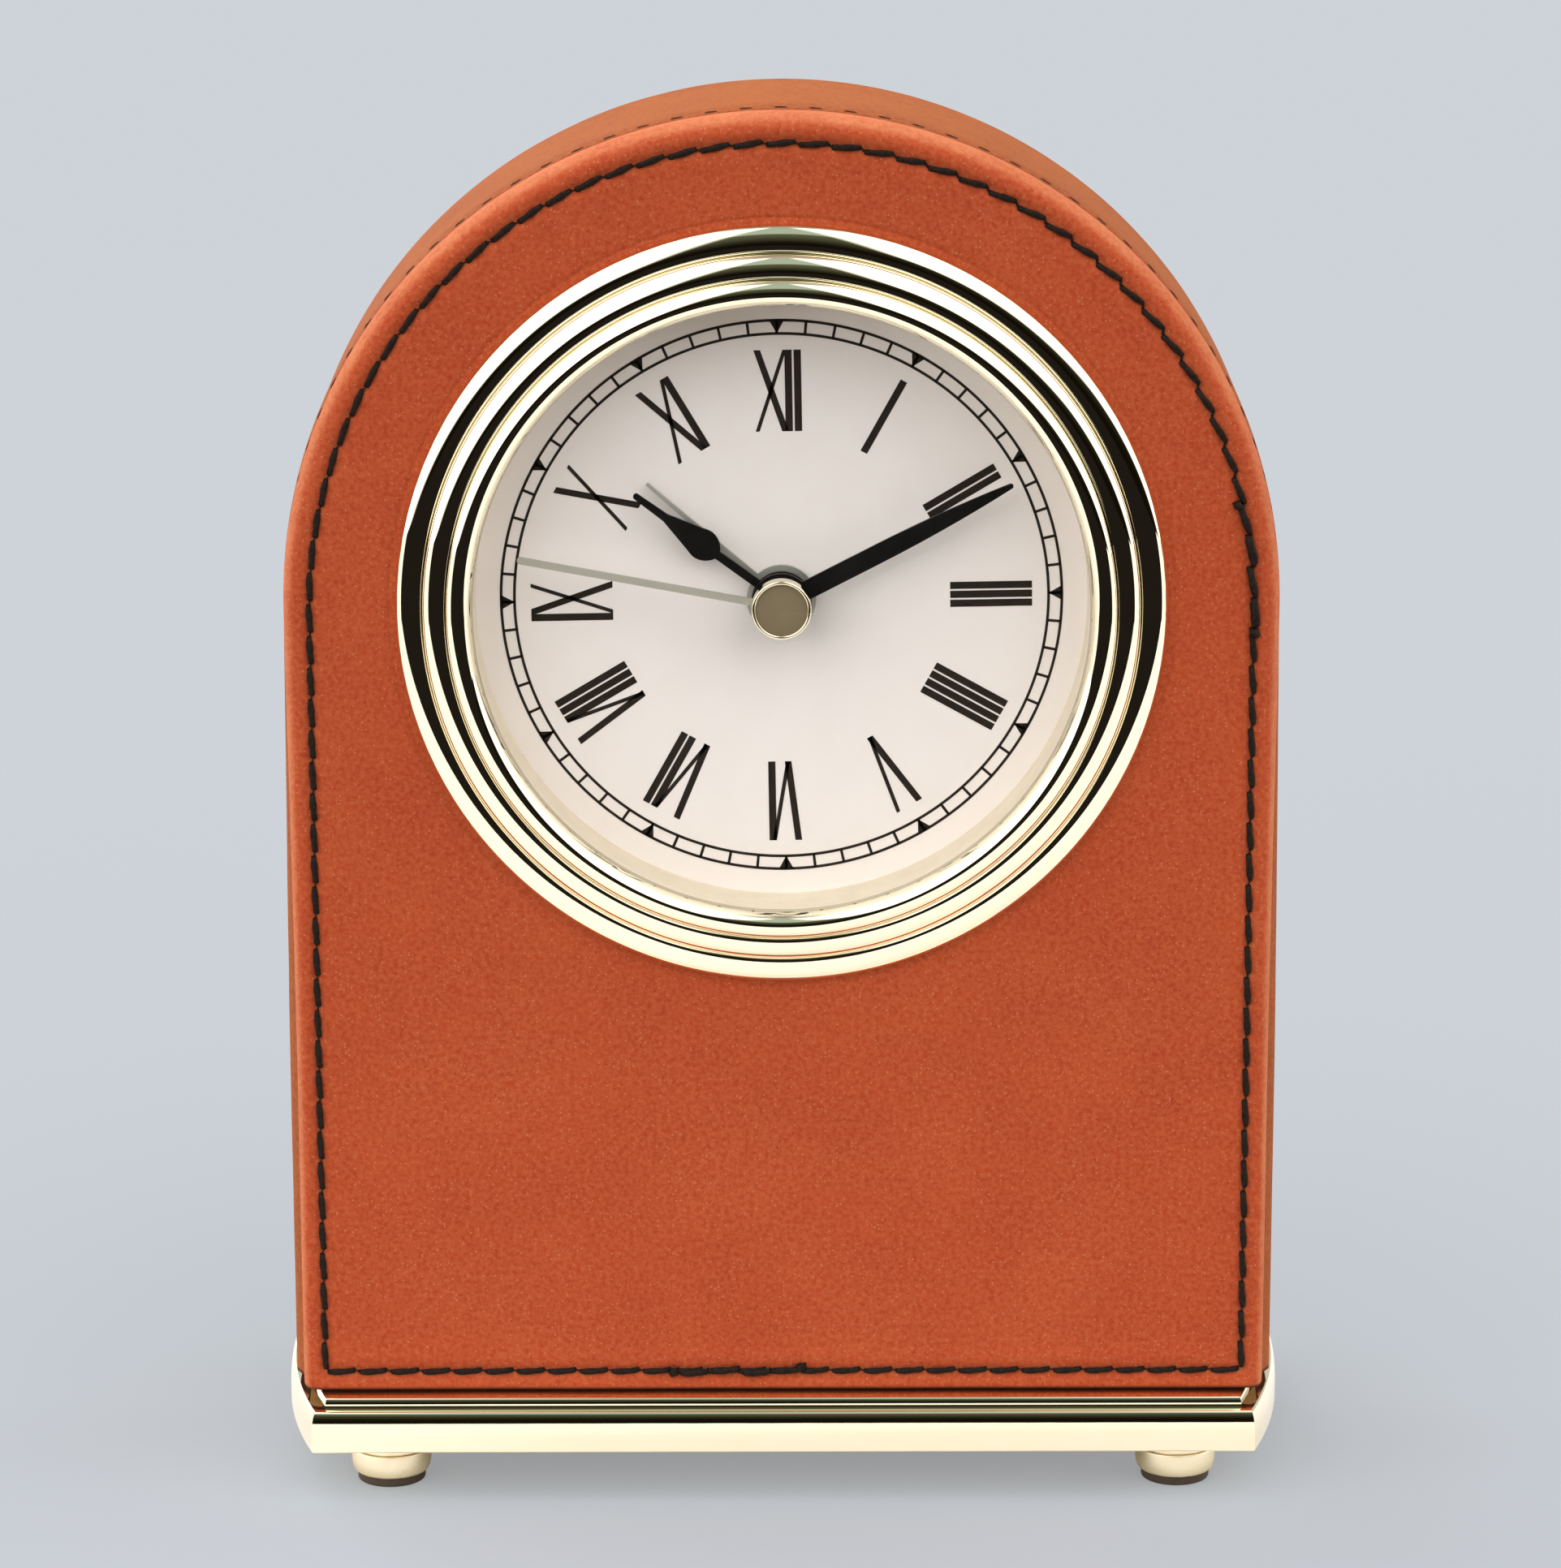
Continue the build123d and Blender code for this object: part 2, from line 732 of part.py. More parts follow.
# Hour hand with its heart-shaped bulb
hour_tip = hour_length - hour_tip_width / 2
with BuildPart() as hour_hand:
    with BuildSketch(hand_plane(hour_hand_front + hand_thickness, hour_angle)):
        with BuildLine():
            for side in (-0.5, 0.5):
                Line((0, 0), (side * hour_stem_width, 0))
                Line((side * hour_stem_width, 0), (side * hour_stem_width, hour_bulb_start))
                ThreePointArc(
                    (side * hour_stem_width, hour_bulb_start),
                    (side * hour_shoulder_width, hour_shoulder),
                    (side * hour_bulb_width, hour_bulb_peak),
                )
                ThreePointArc(
                    (side * hour_bulb_width, hour_bulb_peak),
                    (side * hour_cheek_width, hour_cheek),
                    (side * hour_taper_width, hour_taper),
                )
                Line((side * hour_taper_width, hour_taper), (side * hour_neck_width, hour_neck))
                Line((side * hour_neck_width, hour_neck), (side * hour_tip_width, hour_tip))
            ThreePointArc((-hour_tip_width / 2, hour_tip), (0, hour_length), (hour_tip_width / 2, hour_tip))
        make_face()
        Circle(black_hub_radius)
        Circle(hour_pipe + hand_fit, mode=Mode.SUBTRACT)
    extrude(amount=hand_thickness)
hour_hand.part.label = "hour_hand"

# Minute hand, parallel and then curving in to its tip
minute_tip = minute_length - minute_tip_width / 2
with BuildPart() as minute_hand:
    with BuildSketch(hand_plane(minute_hand_front + hand_thickness, minute_angle)):
        with BuildLine():
            for side in (-0.5, 0.5):
                Line((0, 0), (side * minute_width, 0))
                Line((side * minute_width, 0), (side * minute_width, minute_taper))
                TangentArc(
                    (side * minute_width, minute_taper),
                    (side * minute_tip_width, minute_tip),
                    tangent=(0, 1),
                )
            ThreePointArc(
                (-minute_tip_width / 2, minute_tip),
                (0, minute_length),
                (minute_tip_width / 2, minute_tip),
            )
        make_face()
        Circle(black_hub_radius)
        Circle(minute_pipe + hand_fit, mode=Mode.SUBTRACT)
    extrude(amount=hand_thickness)
minute_hand.part.label = "minute_hand"

# Second hand with a rounded tip, pressed on the arbor behind the cap
second_tip = second_length - second_width / 2
with BuildPart() as second_hand:
    with BuildSketch(hand_plane(second_hand_front + second_hand_thickness, second_angle)):
        with Locations((0, second_tip / 2)):
            Rectangle(second_width, second_tip)
        with Locations((0, second_tip)):
            Circle(second_width / 2)
        Circle(second_hub_radius)
        Circle(arbor_radius + hand_fit, mode=Mode.SUBTRACT)
    extrude(amount=second_hand_thickness)
second_hand.part.label = "second_hand"

# Hand cap, a short drum with a sunk face
arbor_front = second_hand_front - cap_height / 2
with BuildPart() as hand_cap:
    disc(hand_axis, cap_radius, cap_front, second_hand_front)
    disc(hand_axis, cap_radius - cap_rim, cap_front, cap_front + cap_recess, Mode.SUBTRACT)
    disc(hand_axis, arbor_radius + hand_fit, arbor_front, second_hand_front, Mode.SUBTRACT)
hand_cap.part.label = "hand_cap"

# Alarm wheel on its pipe
with BuildPart() as alarm_wheel:
    toothed(hand_axis, alarm_teeth, motion_module, alarm_direction, alarm_level)
    disc(hand_axis, alarm_pipe, alarm_hand_front, alarm_level)
    disc(hand_axis, alarm_bore, alarm_hand_front, alarm_level + wheel_thickness, Mode.SUBTRACT)
alarm_wheel.part.label = "alarm_wheel"

# Hour wheel on its pipe
with BuildPart() as hour_wheel:
    toothed(hand_axis, hour_teeth, hour_module, hour_turn, hour_level)
    disc(hand_axis, hour_pipe, hour_hand_front, hour_level)
    disc(hand_axis, hour_bore, hour_hand_front, hour_level + wheel_thickness, Mode.SUBTRACT)
hour_wheel.part.label = "hour_wheel"

# Cannon pinion, whose pipe carries the minute hand and the centre wheel
cannon_back = centre_level + wheel_thickness + wheel_gap / 2
with BuildPart() as cannon_pinion:
    toothed(hand_axis, cannon_teeth, motion_module, cannon_turn, minute_level)
    disc(hand_axis, minute_pipe, minute_hand_front, cannon_back)
    disc(hand_axis, minute_bore, minute_hand_front, cannon_back, Mode.SUBTRACT)
cannon_pinion.part.label = "cannon_pinion"

# Motion wheel and its pinion, turning on the post of the cup
with BuildPart() as motion_wheel:
    toothed(motion_axis, motion_teeth, motion_module, motion_turn, minute_level)
    toothed(motion_axis, motion_pinion_teeth, hour_module, motion_direction, hour_level)
    disc(motion_axis, 2 * post_radius, hour_level, minute_level)
    disc(motion_axis, post_radius + pipe_clearance, hour_level, centre_level, Mode.SUBTRACT)
motion_wheel.part.label = "motion_wheel"

# Centre wheel, held on the cannon pinion by friction
with BuildPart() as centre_wheel:
    toothed(hand_axis, centre_teeth, centre_module, centre_turn, centre_level)
    disc(hand_axis, minute_pipe + pipe_clearance, centre_level, third_level, Mode.SUBTRACT)
centre_wheel.part.label = "centre_wheel"

# Third wheel with its pinion and arbor
with BuildPart() as third_wheel:
    toothed(third_axis, third_teeth, train_module, third_turn, third_level)
    toothed(third_axis, third_pinion_teeth, centre_module, third_direction, centre_level)
    disc(third_axis, arbor_radius, pivot_front, pivot_back)
third_wheel.part.label = "third_wheel"

# Seconds wheel with its pinion, and the arbor that runs forward to the cap
with BuildPart() as seconds_wheel:
    toothed(hand_axis, seconds_teeth, train_module, seconds_turn, seconds_level)
    toothed(hand_axis, seconds_pinion_teeth, train_module, third_direction, third_level)
    disc(hand_axis, arbor_radius, arbor_front, pivot_back)
seconds_wheel.part.label = "seconds_wheel"

# Step wheel with its pinion and arbor
with BuildPart() as step_wheel:
    toothed(step_axis, step_teeth, train_module, rotor_direction, step_level)
    toothed(step_axis, step_pinion_teeth, train_module, step_direction, seconds_level)
    disc(step_axis, arbor_radius, pivot_front, pivot_back)
step_wheel.part.label = "step_wheel"

# Rotor with its magnet, pinion and arbor
magnet_front = stator_front + (stator_thickness - magnet_height) / 2
with BuildPart() as rotor:
    toothed(rotor_axis, rotor_teeth, train_module, rotor_turn, step_level)
    disc(rotor_axis, magnet_radius, magnet_front, magnet_front + magnet_height)
    disc(rotor_axis, arbor_radius, pivot_front, pivot_back)
rotor.part.label = "rotor"

# Train bridge with the rear pivots and the alarm stem's way through
with BuildPart() as train_bridge:
    bridge_middle = ((bridge_right - bridge_left) / 2, (bridge_top - bridge_bottom) / 2)
    with BuildSketch(clock_plane(bridge_back, bridge_middle)):
        RectangleRounded(bridge_left + bridge_right, bridge_top + bridge_bottom, bridge_corner)
    extrude(amount=bridge_thickness)
    for pivot in (hand_axis, third_axis, step_axis, rotor_axis):
        disc(pivot, arbor_radius + pivot_clearance, bridge_front, pivot_back, Mode.SUBTRACT)
    for pillar in pillar_axes:
        disc(pillar, screw_radius + pivot_clearance, bridge_front, bridge_back, Mode.SUBTRACT)
    disc(alarm_axis, stem_radius + stem_clearance, bridge_front, bridge_back, Mode.SUBTRACT)
train_bridge.part.label = "train_bridge"

# Stator plates joined by the coil's core
stator_middle = (stator_front + stator_back) / 2
stator_right = rotor_axis[0] + stator_reach
with BuildPart() as stator:
    block(coil_x - core_pad_half_width, stator_right, rotor_axis[1] - stator_reach, stator_top,
          stator_front, stator_back)
    block(coil_x - core_pad_half_width, coil_x + core_pad_half_width, core_pad_low,
          core_pad_low + core_pad_length, stator_front, stator_back)
    disc(rotor_axis, magnet_radius + stator_air_gap, stator_front, stator_back, Mode.SUBTRACT)
    for pillar in stator_pillars:
        disc(pillar, screw_radius + pivot_clearance, stator_front, stator_back, Mode.SUBTRACT)
    with BuildSketch(Plane(origin=(coil_x, face_y + stator_middle, dial_z + stator_top))):
        Rectangle(2 * core_radius, stator_thickness)
    extrude(amount=coil_length)
stator.part.label = "stator"

# Coil on its bobbin
coil_plane = Plane(origin=(coil_x, face_y + stator_middle, dial_z + stator_top + pivot_clearance))
coil_height = coil_length - 2 * pivot_clearance
with BuildPart() as coil:
    with BuildSketch(coil_plane):
        Circle(coil_radius)
    extrude(amount=coil_height)
    for flange_base in (0.0, coil_height - coil_flange):
        with BuildSketch(coil_plane.offset(flange_base)):
            Circle(coil_flange_radius)
        extrude(amount=coil_flange)
    with BuildSketch(coil_plane):
        Rectangle(2 * (core_radius + pivot_clearance), stator_thickness + 2 * pivot_clearance)
    extrude(amount=coil_height, mode=Mode.SUBTRACT)
coil.part.label = "coil"

# Screws that hold the bridge and the stator
with BuildPart() as movement_screws:
    for pillar in pillar_axes:
        disc(pillar, screw_radius, bridge_front - screw_depth + pivot_clearance, bridge_back)
        disc(pillar, screw_head_radius, bridge_back, bridge_back + screw_head_height)
    for pillar in stator_pillars:
        disc(pillar, screw_radius, floor_back + pivot_clearance, stator_back)
        disc(pillar, screw_head_radius, stator_back, stator_back + screw_head_height)
movement_screws.part.label = "movement_screws"

# Circuit board on its posts, with the chip and the quartz can
board_right = board_left + board_width
with BuildPart() as circuit_board:
    block(board_left, board_right, -board_low, board_height - board_low, circuit_front, circuit_back)
circuit_board.part.label = "circuit_board"

chip_left = board_left + board_post_inset
chip_low = board_post_inset / 2 - board_low
with BuildPart() as circuit_chip:
    block(chip_left, chip_left + chip_size, chip_low, chip_low + chip_size,
          circuit_back, circuit_back + chip_height)
circuit_chip.part.label = "circuit_chip"

quartz_z = dial_z + board_height - board_low - board_post_inset / 2
quartz_x = board_left + board_post_inset
with BuildPart() as quartz_can:
    with BuildSketch(
        Plane(origin=(quartz_x, face_y + circuit_back + quartz_radius, quartz_z), z_dir=(1, 0, 0))
    ):
        Circle(quartz_radius)
    extrude(amount=quartz_length)
quartz_can.part.label = "quartz_can"

# Rear cover with the battery well, the door's seat, and the ways for stems, switch and sound
well_low = -battery_drop - well_half_height
well_high = -battery_drop + well_half_height
slot_half_width = (switch_width + switch_travel) / 2 + switch_clearance
slot_half_height = switch_height / 2 + switch_clearance
spigot_radius = cup_inner_radius - cover_spigot_clearance
with BuildPart() as rear_cover:
    disc(hand_axis, insert_radius, cover_front, cover_back)
    disc(hand_axis, spigot_radius, cover_front - cover_spigot, cover_front)
    disc(hand_axis, spigot_radius - cover_spigot_wall, cover_front - cover_spigot, cover_front, Mode.SUBTRACT)
    block(-well_half_length - well_wall, well_half_length + well_wall, well_low - well_wall,
          well_high + well_wall, well_front - well_wall, cover_front)
    block(-well_half_length, well_half_length, well_low, well_high, well_front, cover_back, Mode.SUBTRACT)
    block(-well_half_length - door_ledge, well_half_length + door_ledge, well_low - door_ledge,
          well_high + door_ledge, door_front, cover_back, Mode.SUBTRACT)
    for stem in (set_axis, alarm_axis):
        disc(stem, stem_radius + stem_clearance, cover_front, cover_back, Mode.SUBTRACT)
    block(-slot_half_width, slot_half_width, switch_rise - slot_half_height,
          switch_rise + slot_half_height, cover_front, cover_back, Mode.SUBTRACT)
    with BuildSketch(clock_plane(cover_back, buzzer_axis)):
        with PolarLocations(sound_hole_circle, sound_holes):
            Circle(sound_hole_radius)
        Circle(sound_hole_radius)
    extrude(amount=cover_thickness, mode=Mode.SUBTRACT)
rear_cover.part.label = "rear_cover"

# Battery with its nub towards +X
battery_z = dial_z - battery_drop
battery_plane = Plane(origin=(-battery_length / 2, face_y + battery_depth, battery_z), z_dir=(1, 0, 0))
with BuildPart() as battery:
    with BuildSketch(battery_plane):
        Circle(battery_radius)
    extrude(amount=battery_length - battery_nub_length)
    with BuildSketch(battery_plane.offset(battery_length - battery_nub_length)):
        Circle(battery_nub_radius)
    extrude(amount=battery_nub_length)
battery.part.label = "battery"

# Battery contacts against the ends of the well
contact_low = -battery_drop - contact_height / 2
contact_high = contact_low + contact_height
contact_front = battery_depth - contact_height / 2
contact_back = contact_front + contact_height
contacts = []
for name, side, button_radius in (
    ("contact_positive", 1, battery_nub_radius),
    ("contact_negative", -1, battery_radius / 2),
):
    plate_outer = side * well_half_length
    plate_inner = side * (well_half_length - contact_thickness)
    button_reach = contact_space - contact_thickness - contact_gap
    button_plane = Plane(
        origin=(plate_inner, face_y + battery_depth, battery_z), z_dir=(-side, 0, 0)
    )
    with BuildPart() as contact:
        block(min(plate_inner, plate_outer), max(plate_inner, plate_outer), contact_low, contact_high,
              contact_front, contact_back)
        with BuildSketch(button_plane):
            Circle(button_radius)
        extrude(amount=button_reach)
    contact.part.label = name
    contacts.append(contact.part)

# Battery cover, clipped on the ledge round the well, with a finger hollow
door_half_length = well_half_length + door_ledge - door_clearance
door_half_height = well_half_height + door_ledge - door_clearance
with BuildPart() as battery_cover:
    block(-door_half_length, door_half_length, -battery_drop - door_half_height,
          -battery_drop + door_half_height, door_front, cover_back)
    disc((0.0, -battery_drop), door_grip_radius, cover_back - door_grip_depth, cover_back, Mode.SUBTRACT)
battery_cover.part.label = "battery_cover"


def knob(axis, teeth, turn, level):
    """Knob in the open part: its pinion, the stem to the back and the fluted head."""
    knob_front = cover_back + knob_lift
    knob_back = knob_front + knob_height
    toothed(axis, teeth, motion_module, turn, level)
    disc(axis, post_radius, pivot_front, level)
    disc(axis, stem_radius, level + wheel_thickness, knob_front)
    disc(axis, knob_radius, knob_front, knob_back)
    with BuildSketch(clock_plane(knob_back, axis)) as flutes:
        with PolarLocations(knob_radius, knob_flutes):
            Circle(knob_flute_radius)
    extrude(flutes.sketch, amount=knob_height, mode=Mode.SUBTRACT)


# Setting knob for the hands
with BuildPart() as set_knob:
    knob(set_axis, set_teeth, set_turn, minute_level)
set_knob.part.label = "set_knob"

# Setting knob for the alarm
with BuildPart() as alarm_knob:
    knob(alarm_axis, alarm_pinion_teeth, alarm_pinion_turn, alarm_level)
alarm_knob.part.label = "alarm_knob"

# Alarm switch, resting at the left end of its slot
switch_x = -switch_travel / 2
switch_plate_half = switch_width / 2 + switch_travel / 2 + switch_plate_margin
with BuildPart() as alarm_switch:
    block(switch_x - switch_plate_half, switch_x + switch_plate_half,
          switch_rise - slot_half_height - switch_plate_margin,
          switch_rise + slot_half_height + switch_plate_margin,
          cover_front - switch_plate, cover_front)
    block(switch_x - switch_width / 2, switch_x + switch_width / 2, switch_rise - switch_height / 2,
          switch_rise + switch_height / 2, cover_front, cover_back + switch_stand)
alarm_switch.part.label = "alarm_switch"

# Buzzer disc on the inside of the rear cover
with BuildPart() as buzzer:
    disc(buzzer_axis, buzzer_radius, cover_front - buzzer_thickness, cover_front)
buzzer.part.label = "buzzer"

pieces = [
    case_core.part,
    front_leather.part,
    side_leather.part,
    back_board.part,
    base_plate.part,
    case_screws.part,
    insert_cup.part,
    grip_ring.part,
    bezel.part,
    crystal.part,
    reflector_ring.part,
    dial.part,
    alarm_hand.part,
    hour_hand.part,
    minute_hand.part,
    second_hand.part,
    hand_cap.part,
    alarm_wheel.part,
    hour_wheel.part,
    cannon_pinion.part,
    motion_wheel.part,
    centre_wheel.part,
    third_wheel.part,
    seconds_wheel.part,
    step_wheel.part,
    rotor.part,
    train_bridge.part,
    stator.part,
    coil.part,
    movement_screws.part,
    circuit_board.part,
    circuit_chip.part,
    quartz_can.part,
    rear_cover.part,
    battery.part,
    battery_cover.part,
    set_knob.part,
    alarm_knob.part,
    alarm_switch.part,
    buzzer.part,
]
for piece in pieces + feet + contacts:
    export_step(piece, f"parts/{piece.label}.step")
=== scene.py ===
"""Look of an arched desk clock: leather, thread, gold, printed dial, hands, studio and camera.

Sizes are in millimetres unless a name says otherwise. Depths run rearward from the leather's face.
"""

import logging
import math
from dataclasses import dataclass, field
from enum import Enum
from functools import cache
from typing import Iterable, Sequence

import bmesh
import bpy
from mathutils import Matrix, Vector, noise
from mathutils.kdtree import KDTree


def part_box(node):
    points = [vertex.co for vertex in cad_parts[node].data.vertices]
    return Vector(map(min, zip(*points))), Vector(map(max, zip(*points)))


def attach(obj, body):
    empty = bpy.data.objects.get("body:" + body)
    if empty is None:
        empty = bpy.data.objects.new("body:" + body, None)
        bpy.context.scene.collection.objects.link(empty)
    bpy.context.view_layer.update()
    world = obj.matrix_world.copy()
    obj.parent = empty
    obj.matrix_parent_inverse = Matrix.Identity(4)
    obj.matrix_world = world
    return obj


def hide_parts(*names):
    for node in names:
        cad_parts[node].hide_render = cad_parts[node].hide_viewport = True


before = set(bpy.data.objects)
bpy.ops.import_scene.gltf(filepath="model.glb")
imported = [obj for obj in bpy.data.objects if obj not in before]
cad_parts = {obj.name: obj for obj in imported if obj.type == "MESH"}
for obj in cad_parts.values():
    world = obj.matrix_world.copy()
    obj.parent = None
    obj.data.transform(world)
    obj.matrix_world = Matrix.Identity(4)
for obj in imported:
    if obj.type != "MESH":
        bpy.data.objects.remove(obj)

Colour = tuple[float, float, float, float]
Flat = tuple[float, float]
Socket = bpy.types.NodeSocket
Grid = list[list[Vector]]

MM = 0.001
log = logging.getLogger("desk_clock")


def srgb(red: float, green: float, blue: float) -> Colour:
    """Turn screen values from 0 to 255 into a linear colour.

    Args:
        red: Red on the screen.
        green: Green on the screen.
        blue: Blue on the screen.

    Returns:
        The linear colour with full alpha.
    """
    def linear(value: float) -> float:
        """Linear light of one channel."""
        share = value / 255
        return share / 12.92 if share <= 0.04045 else ((share + 0.055) / 1.055) ** 2.4
    return (linear(red), linear(green), linear(blue), 1.0)


def node_box(node: str) -> tuple[Vector, Vector]:
    """Lowest and highest corner of a CAD node in millimetres."""
    low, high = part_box(node)
    return Vector(low) / MM, Vector(high) / MM


def smooth(value: float, low: float, high: float) -> float:
    """Soft step from 0 at low to 1 at high."""
    share = min(max((value - low) / (high - low), 0.0), 1.0)
    return share * share * (3 - 2 * share)


def bell(distance: float, width: float) -> float:
    """Bell curve that is 1 at no distance and fades over the width."""
    return math.exp(-((distance / width) ** 2))


def spread(first: float, last: float, count: int) -> list[float]:
    """Evenly spaced numbers from first to last, both kept."""
    return [first + (last - first) * index / (count - 1) for index in range(count)]


class Shader:
    """Short form for adding and linking the nodes of one tree."""

    def __init__(self, tree: bpy.types.NodeTree) -> None:
        """Keep the tree that nodes are added to."""
        self.tree = tree

    def add(self, kind: str, inputs: dict | None = None, **settings: object) -> bpy.types.Node:
        """Add one node.

        Args:
            kind: Type name of the node.
            inputs: Values or sockets for its inputs, by name or number.
            **settings: Properties of the node.

        Returns:
            The new node.
        """
        node = self.tree.nodes.new(kind)
        for name, value in settings.items():
            setattr(node, name, value)
        for key, value in (inputs or {}).items():
            if isinstance(value, Socket):
                self.tree.links.new(value, node.inputs[key])
            else:
                node.inputs[key].default_value = value
        return node

    def place(self, stretch: Sequence[float] = (1.0, 1.0, 1.0)) -> Socket:
        """Position on the object, stretched along its axes."""
        where = self.add("ShaderNodeTexCoord").outputs["Object"]
        return self.add("ShaderNodeMapping", {"Vector": where, "Scale": stretch}).outputs["Vector"]

    def noise(self, scale: float | Socket, detail: float = 3.0, vector: Socket | None = None) -> Socket:
        """Noise between 0 and 1.

        Args:
            scale: Cells per metre.
            detail: Octaves of the noise.
            vector: Position to read, the object's own when left out.

        Returns:
            The noise value.
        """
        where = vector or self.place()
        node = self.add("ShaderNodeTexNoise", {"Vector": where, "Scale": scale, "Detail": detail})
        return node.outputs["Fac"]

    def math(self, operation: str, first: float | Socket, second: float | Socket = 0.0) -> Socket:
        """One sum of two values."""
        return self.add("ShaderNodeMath", {0: first, 1: second}, operation=operation).outputs[0]

    def remap(self, value: Socket, low: float, high: float, first: float = 0.0, last: float = 1.0) -> Socket:
        """Soft step of a value.

        Args:
            value: Value to map.
            low: Value that gives first.
            high: Value that gives last.
            first: Result at and below low.
            last: Result at and above high.

        Returns:
            The mapped value.
        """
        inputs = {"Value": value, "From Min": low, "From Max": high, "To Min": first, "To Max": last}
        node = self.add("ShaderNodeMapRange", inputs, interpolation_type="SMOOTHSTEP")
        return node.outputs["Result"]

    def mix(self, share: float | Socket, first: Colour | Socket, second: Colour | Socket) -> Socket:
        """Colour between two colours."""
        node = self.add("ShaderNodeMix", {0: share, 6: first, 7: second}, data_type="RGBA")
        return node.outputs[2]

    def bump(self, height: Socket, strength: float, distance: float) -> Socket:
        """Normal of a height.

        Args:
            height: Height between 0 and 1.
            strength: Share of the bump that is used.
            distance: Height of the bump in metres.

        Returns:
            The bumped normal.
        """
        node = self.add("ShaderNodeBump", {"Height": height, "Strength": strength, "Distance": distance})
        return node.outputs["Normal"]

    def effect(self, kind: "Effect", **inputs: float) -> Socket:
        """Result of a shared effect, with values for its inputs.

        Args:
            kind: Effect to place.
            **inputs: Values of its inputs, by name.

        Returns:
            The share that the effect puts out.
        """
        group = self.add("ShaderNodeGroup", node_tree=kind.tree())
        for name, value in inputs.items():
            group.inputs[name.capitalize()].default_value = value
        return group.outputs["Share"]


